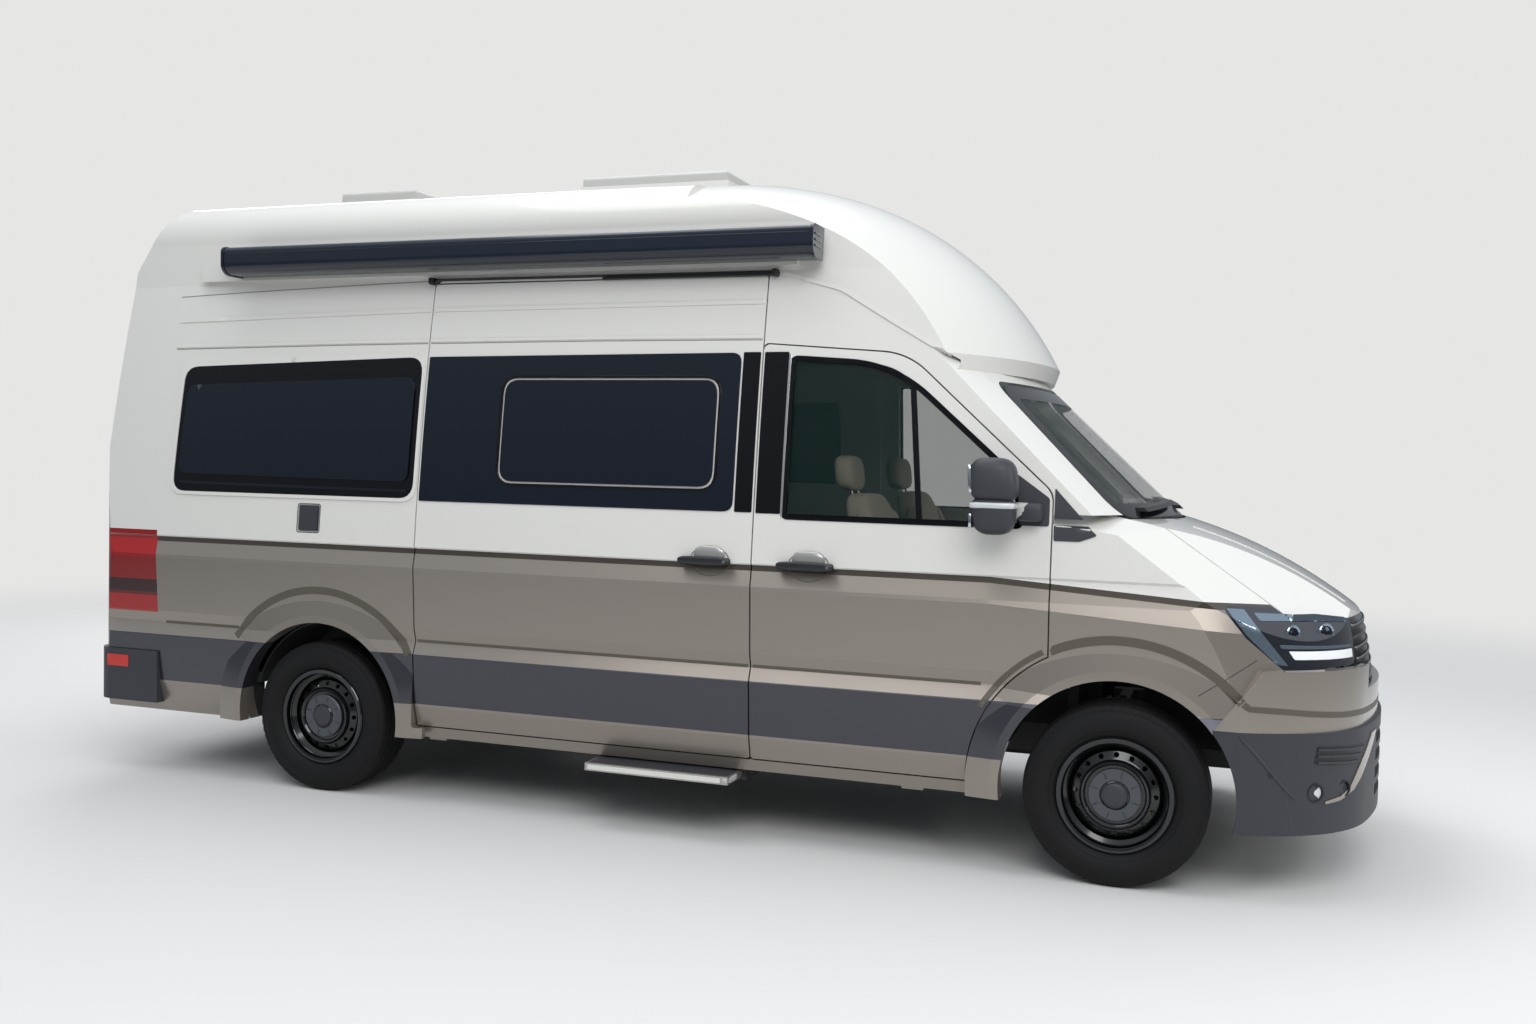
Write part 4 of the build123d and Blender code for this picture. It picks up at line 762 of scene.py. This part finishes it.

# Bumper seams, the facet's edge, and painted shade along the groove that runs on from the arches across the
# nose
mirrored(strip("bumper_corner_seam_right",
               [(2.676, 0.634), (2.65, 0.56), (2.61, 0.47), (2.604, 0.4), (2.622, 0.345), (2.63, 0.275)],
               0.004, line_dark, names=BUMPER, out=0.0008, thick=0.002))
mirrored(strip("bumper_facet_right", [(2.44, 0.625), (2.5, 0.56), (2.6, 0.44), (2.64, 0.4)], 0.01,
               dark_moulding, names=BUMPER, out=0.004, thick=0.005, bevel=0.002))
groove_line = corner_line([(2.449, 0.744), (2.472, 0.728), (2.585, 0.722), (2.683, 0.712), (2.8, 0.7),
                           (2.88, 0.695)], BUMPER)
for y, z in ((-0.56, 0.693), (-0.44, 0.691), (-0.32, 0.69)):
    hit = touch(y, z, BUMPER, "front")
    groove_line.append(((hit.x + hit.y) * math.sqrt(0.5), z))
GROOVE_LOOK = {"names": BUMPER, "out": 0.0015, "thick": 0.0035}
mirrored(strip("bumper_upper_groove_right", groove_line, 0.022, painted_groove_shade, "nose_corner", 0.016,
               **GROOVE_LOOK))
strip("bumper_upper_groove_front", [(-0.32, 0.69), (0.32, 0.69)], 0.022, painted_groove_shade, "front", **GROOVE_LOOK)
for hand, _ in HANDS:
    strip("wing_bumper_seam_" + hand, [(2.492, 0.906), (2.385, 0.83), (2.29, 0.764)], 0.004, line_dark, hand,
          out=0.0008, thick=0.002)

# Cooler core, seen through the lower bumper's slots
solid_box("cooler_core", (2.78, -0.5, 0.34), (2.8, 0.5, 0.63), black_plastic)


def lug_ring(name, place, side, body):
    """Shoulder blocks of a tyre's tread on its outer side"""
    made = bmesh.new()
    count = 58
    profile = ((0.0885, 0.3505), (0.1, 0.3455), (0.1085, 0.329), (0.108, 0.319), (0.102, 0.327),
               (0.096, 0.339))
    for k in range(count):
        ends = []
        for turn in ((k + 0.18) / count, (k + 0.82) / count):
            angle = 2 * math.pi * turn
            spots = [Vector((r * math.cos(angle), side * h, r * math.sin(angle))) for h, r in profile]
            ends.append([made.verts.new(place + spot) for spot in spots])
        for i in range(len(profile)):
            j = (i + 1) % len(profile)
            made.faces.new([ends[0][i], ends[0][j], ends[1][j], ends[1][i]])
        made.faces.new(ends[0])
        made.faces.new(ends[1][::-1])
    return finished(made, name, rubber, body, angle=30)


# Wheel rings: name, finish, steps, and a profile of distances out from the wheel's middle and radii
WHEEL_RINGS = (
    ("rim_edge", polished_black, 96,
     [(0.0965, 0.203), (0.0985, 0.209), (0.0985, 0.2195), (0.0945, 0.2235), (0.091, 0.2235), (0.091, 0.203)]),
    ("rim_bead_line", polished_black, 96,
     [(0.071, 0.196), (0.0745, 0.199), (0.071, 0.202), (0.066, 0.202), (0.066, 0.196)]),
    ("cap_ring", polished_black, 80,
     [(0.07, 0.112), (0.079, 0.113), (0.0845, 0.119), (0.0835, 0.127), (0.075, 0.132), (0.064, 0.134),
      (0.064, 0.112)]),
    ("cap_disc", cap_grey, 80,
     [(0.076, 0.0), (0.076, 0.101), (0.084, 0.101), (0.0885, 0.097), (0.09, 0.058), (0.086, 0.053),
      (0.086, 0.0)]),
    ("cap_centre_ring", polished_black, 64,
     [(0.084, 0.047), (0.0925, 0.0475), (0.0935, 0.051), (0.0905, 0.0545), (0.084, 0.0545)]),
    ("cap_centre", dark_moulding, 64,
     [(0.08, 0.0), (0.08, 0.047), (0.0945, 0.047), (0.0985, 0.04), (0.1005, 0.022), (0.101, 0.0)]),
    ("sidewall_ring_outer", rubber, 96,
     [(0.1085, 0.314), (0.111, 0.311), (0.1085, 0.307), (0.105, 0.307), (0.105, 0.314)]),
    ("sidewall_ring_inner", rubber, 96,
     [(0.1075, 0.252), (0.1105, 0.249), (0.105, 0.244), (0.101, 0.244), (0.101, 0.252)]))
CAP_MARKS = 8
for end, axle in (("front", FRONT_AXLE_X), ("rear", REAR_AXLE_X)):
    for hand, side in HANDS:
        tag = "_%s_%s" % (end, hand)
        body = "wheel" + tag
        place = Vector((axle, side * WHEEL_Y, AXLE_Z))
        for name, finish, steps, profile in WHEEL_RINGS:
            lathe(name + tag, profile, place, (0, side, 0), finish, body, steps)
        for k in range(CAP_MARKS):
            mark = solid_box("cap_mark_%d%s" % (k + 1, tag), (-0.0015, -0.0012, 0.068),
                             (0.0015, 0.0012, 0.094), handle_dark, body, 0.0005)
            turn = Matrix.Rotation(2 * math.pi * k / CAP_MARKS + 0.3, 4, "Y")
            mark.data.transform(Matrix.Translation(place + Vector((0, side * 0.0898, 0))) @ turn)
        lug_ring("shoulder_lugs" + tag, place, side, body)

# Cab seats: crowned cushions with bolsters, headrests, seams and posts
SEAT_Y = 0.45
SEAT_LEAN = -0.3
# Name, ranges along, across from the seat's middle and up, then squareness, steps, lean and taper
CUSHIONS = (
    ("seat_cushion_", 0.925, 1.42, -0.238, 0.238, 0.742, 0.884, 5.0, (40, 20), 0.0, 0.0),
    ("seat_back_", 0.862, 1.0, -0.232, 0.232, 0.85, 1.47, 5.0, (40, 24), SEAT_LEAN, 0.06),
    ("headrest_", 0.716, 0.812, -0.125, 0.125, 1.478, 1.636, 3.4, (32, 16), -0.12, 0.0),
    ("seat_bolster_1_", 0.96, 1.4, -0.244, -0.172, 0.78, 0.912, 3.0, (28, 14), 0.0, 0.0),
    ("back_bolster_1_", 0.905, 1.02, -0.242, -0.174, 0.9, 1.4, 3.0, (28, 20), SEAT_LEAN, 0.0),
    ("seat_bolster_2_", 0.96, 1.4, 0.172, 0.244, 0.78, 0.912, 3.0, (28, 14), 0.0, 0.0),
    ("back_bolster_2_", 0.905, 1.02, 0.174, 0.242, 0.9, 1.4, 3.0, (28, 20), SEAT_LEAN, 0.0))
for hand, side in HANDS:
    y = side * SEAT_Y
    solid_box("seat_box_" + hand, (0.905, y - 0.2, 0.522), (1.3, y + 0.2, 0.74), dark_moulding, bevel=0.02)
    for name, x0, x1, y0, y1, z0, z1, *form in CUSHIONS:
        piece = pebble(name + hand, (x0, y + y0, z0), (x1, y + y1, z1), cloth, "root", *form)
        if name == "seat_back_":
            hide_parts("cab_seats")
    for k, (seam, post) in enumerate(((y - 0.15, y - 0.05), (y + 0.15, y + 0.05))):
        tag = "%d_%s" % (k + 1, hand)
        back_line = [(1.0005 + SEAT_LEAN * (z - 1.16), seam, z) for z in (0.96, 1.06, 1.16, 1.26, 1.34)]
        tube("back_seam_" + tag, back_line, 0.003, piping)
        tube("cushion_seam_" + tag, [(x, seam, 0.8835) for x in (1.02, 1.12, 1.22, 1.32)], 0.003, piping)
        tube("headrest_post_" + tag, [(0.8, post, 1.44), (0.772, post, 1.52)], 0.006, alloy)

# Dashboard: instrument hood, screen and vents
pebble("instrument_hood", (1.47, 0.25, 1.27), (1.66, 0.61, 1.372), black_plastic, power=3.5)
pebble("centre_screen", (1.455, -0.13, 1.175), (1.48, 0.13, 1.305), band_glass, power=8.0)
for k, y in enumerate((-0.7, -0.23, 0.2, 0.72)):
    pebble("dash_vent_%d" % (k + 1), (1.45, y - 0.055, 1.205), (1.48, y + 0.055, 1.262), gloss_black,
           power=6.0)

# Awning: a greyer lower band, ridges along the case and ribs on its end
strip("awning_lower_band", [(-2.18, 2.452), (0.732, 2.452)], 0.02, awning_band, "right", 0.1, names=AWNING,
      out=0.001, thick=0.003)
for k, z in enumerate((2.468, 2.53)):
    strip("awning_ridge_%d" % (k + 1), [(-2.184, z), (0.736, z)], 0.004, awning_paint, "right", 0.1,
          names=AWNING, out=0.0018, bevel=0.001)
for k, z in enumerate((2.478, 2.502, 2.526)):
    strip("awning_cap_rib_%d" % (k + 1), [(-1.02, z), (-0.93, z)], 0.008, polished_black, "front",
          names=AWNING, out=0.004, thick=0.006, bevel=0.002)

# Socket flap: raised lid and the shut line round it
patch("socket_flap_lid", box_outline(-1.76, -1.658, 1.232, 1.341, 0.01), dark_moulding,
      names=("socket_flap",), out=0.003, body="socket_flap", bevel=0.0015)
frame_strip("socket_flap_line", box_outline(-1.772, -1.646, 1.22, 1.353, 0.012), 0.005, line_dark, out=0.0008,
            thick=0.002)

# Entry step: dark tread with ribs, bright front edge and end cap
patch("step_tread", box_outline(-0.195, 0.445, -1.06, -0.93, 0.01), dark_moulding, "top", STEP, out=0.0015,
      thick=0.003, body="entry_step")
strip("step_front_edge", [(-0.192, 0.2735), (0.42, 0.2735)], 0.02, plate_white, names=STEP, body="entry_step")
pebble("step_end_cap", (0.424, -1.08, 0.26), (0.456, -0.96, 0.29), light_grey_plastic, "entry_step", 5.0)
for k in range(5):
    y = -1.045 + 0.024 * k
    tube("step_rib_%d" % (k + 1), [(-0.185, y, 0.2875), (0.415, y, 0.2875)], 0.0016, black_plastic,
         "entry_step")

# Tail: reflectors, blank plate, handle, window beads and high brake light
for hand, side in HANDS:
    patch("rear_reflector_" + hand, box_outline(-2.905, -2.77, 0.512, 0.57, 0.008), reflector_red, hand,
          ("rear_bumper",), out=0.003, thick=0.005, bevel=0.002)
    y = side * 0.405
    window = rounded([(y - 0.3, 1.392), (y + 0.3, 1.392), (y + 0.292, 2.068), (y - 0.292, 2.068)], 0.065)
    frame_strip("rear_door_window_bead_" + hand, window, 0.014, trim_black, "rear", out=0.003, thick=0.006,
                body="rear_door_" + hand)
patch("rear_plate_place", box_outline(0.13, 0.65, 0.9, 1.012, 0.012), plate_white, "rear", out=0.004,
      thick=0.005, body="rear_door_left")
frame_strip("rear_plate_frame", box_outline(0.124, 0.656, 0.894, 1.018, 0.014), 0.012, black_plastic, "rear",
            out=0.006, thick=0.007, body="rear_door_left")
face = touch(-0.16, 1.075, view="rear").x
pebble("rear_handle", (face - 0.028, -0.3, 1.06), (face + 0.002, -0.06, 1.098), handle_dark,
       "rear_door_right", 3.2)
patch("high_brake_light", box_outline(-0.15, 0.15, 2.505, 2.53, 0.01), dark_red, "rear", out=0.004,
      thick=0.006)

# Windscreen's printed black border and the bonnet's creases
border = rounded([(-0.796, 1.436), (-0.702, 1.908), (0.702, 1.908), (0.796, 1.436)], 0.06)
frame_strip("windscreen_border", border, 0.055, trim_black, "front", 0.05, names=("windscreen",), out=0.0006,
            thick=0.0012)
for hand, side in HANDS:
    strip("bonnet_crease_" + hand, [(x, side * y) for x, y in ((2.23, 0.43), (2.45, 0.405), (2.7, 0.37),
                                                               (2.82, 0.352))],
          0.028, white_paint, "top", names=("bonnet",), out=0.003, bevel=0.003)

# Camera at the photograph's place
CAMERA_PLACE = Vector((2.442, -6.245, 1.579))
CAMERA_YAW = math.radians(19.58)
CAMERA_PITCH = math.radians(-1.94)
CAMERA_ROLL = math.radians(1.32)
FOCAL_PIXELS = 1350
SENSOR = 36.0
IMAGE_WIDTH = 1536


def make_camera():
    """Camera with the photograph's place, turn and focal length"""
    data = bpy.data.cameras.new("camera")
    data.sensor_width = SENSOR
    data.lens = FOCAL_PIXELS / IMAGE_WIDTH * SENSOR
    made = bpy.data.objects.new("camera", data)
    tilt = Matrix.Rotation(math.pi / 2 + CAMERA_PITCH, 4, "X") @ Matrix.Rotation(CAMERA_ROLL, 4, "Z")
    made.matrix_world = Matrix.Translation(CAMERA_PLACE) @ Matrix.Rotation(CAMERA_YAW, 4, "Z") @ tilt
    link(made)
    bpy.context.scene.camera = made


def area_light(name, place, aim, size, power):
    """Soft box at a place, aimed at a point"""
    data = bpy.data.lights.new(name, "AREA")
    data.shape = "RECTANGLE"
    data.size, data.size_y = size
    data.energy = power
    made = bpy.data.objects.new(name, data)
    made.location = place
    made.rotation_euler = (Vector(aim) - Vector(place)).to_track_quat("-Z", "Y").to_euler()
    link(made)


def studio_floor():
    """Pale floor that fades into the backdrop away from the object"""
    finish, tree, shader = material("studio_floor", Base_Color=linear("#D9D8D6"), Roughness=0.85)
    place = add(tree, "ShaderNodeTexCoord")
    flat = add(tree, "ShaderNodeVectorMath", {"operation": "LENGTH"}, Vector=place.outputs["Object"])
    fade = add(tree, "ShaderNodeMapRange", {"interpolation_type": "SMOOTHSTEP"}, Value=flat.outputs["Value"],
               From_Min=4.5, From_Max=13.0)
    clear = add(tree, "ShaderNodeBsdfTransparent")
    faded = add(tree, "ShaderNodeMixShader", i0=fade.outputs[0], i1=shader.outputs[0], i2=clear.outputs[0])
    output = next(node for node in tree.nodes if node.type == "OUTPUT_MATERIAL")
    tree.links.new(faded.outputs[0], output.inputs[0])
    mesh = bpy.data.meshes.new("studio_floor")
    reach = 60
    mesh.from_pydata([(-reach, -reach, 0), (reach, -reach, 0), (reach, reach, 0), (-reach, reach, 0)], [],
                     [(0, 1, 2, 3)])
    mesh.materials.append(finish)
    floor = bpy.data.objects.new("studio_floor", mesh)
    link(floor)


def studio_world():
    """Soft sky that lights the object, shown as a plain pale backdrop"""
    world = bpy.data.worlds.new("studio_world")
    bpy.context.scene.world = world
    world.use_nodes = True
    tree = world.node_tree
    tree.nodes.clear()
    path = add(tree, "ShaderNodeLightPath")
    seen = add(tree, "ShaderNodeMath", {"operation": "MAXIMUM"}, i0=path.outputs["Is Camera Ray"],
               i1=path.outputs["Is Transmission Ray"])
    way = add(tree, "ShaderNodeTexCoord")
    rise = add(tree, "ShaderNodeSeparateXYZ", Vector=way.outputs["Generated"])
    glow = add(tree, "ShaderNodeMapRange", Value=rise.outputs["Z"], From_Min=-0.05, From_Max=0.7, To_Min=0.2,
               To_Max=0.85)
    light = add(tree, "ShaderNodeBackground", Color=linear("#E8EEF6"), Strength=glow.outputs[0])
    shown = add(tree, "ShaderNodeBackground", Color=linear("#E6E6E5"), Strength=1.0)
    mix = add(tree, "ShaderNodeMixShader", i0=seen.outputs[0], i1=light.outputs[0], i2=shown.outputs[0])
    add(tree, "ShaderNodeOutputWorld", Surface=mix.outputs[0])


make_camera()
studio_floor()
studio_world()
# Soft boxes: name, place, aim, size and power
for row in (("key_box", (3.5, -7.5, 6.5), (0, 0, 1.2), (6, 4), 360),
            ("top_box", (-1.0, 0.0, 7.0), (0, 0, 1.0), (8, 4), 230),
            ("back_box", (-6.0, 6.0, 4.5), (0, 0, 1.2), (5, 3), 240),
            ("front_box", (8.0, -1.0, 4.0), (1.5, 0, 1.0), (4, 3), 150)):
    area_light(*row)
bpy.context.scene.view_settings.view_transform = "Standard"
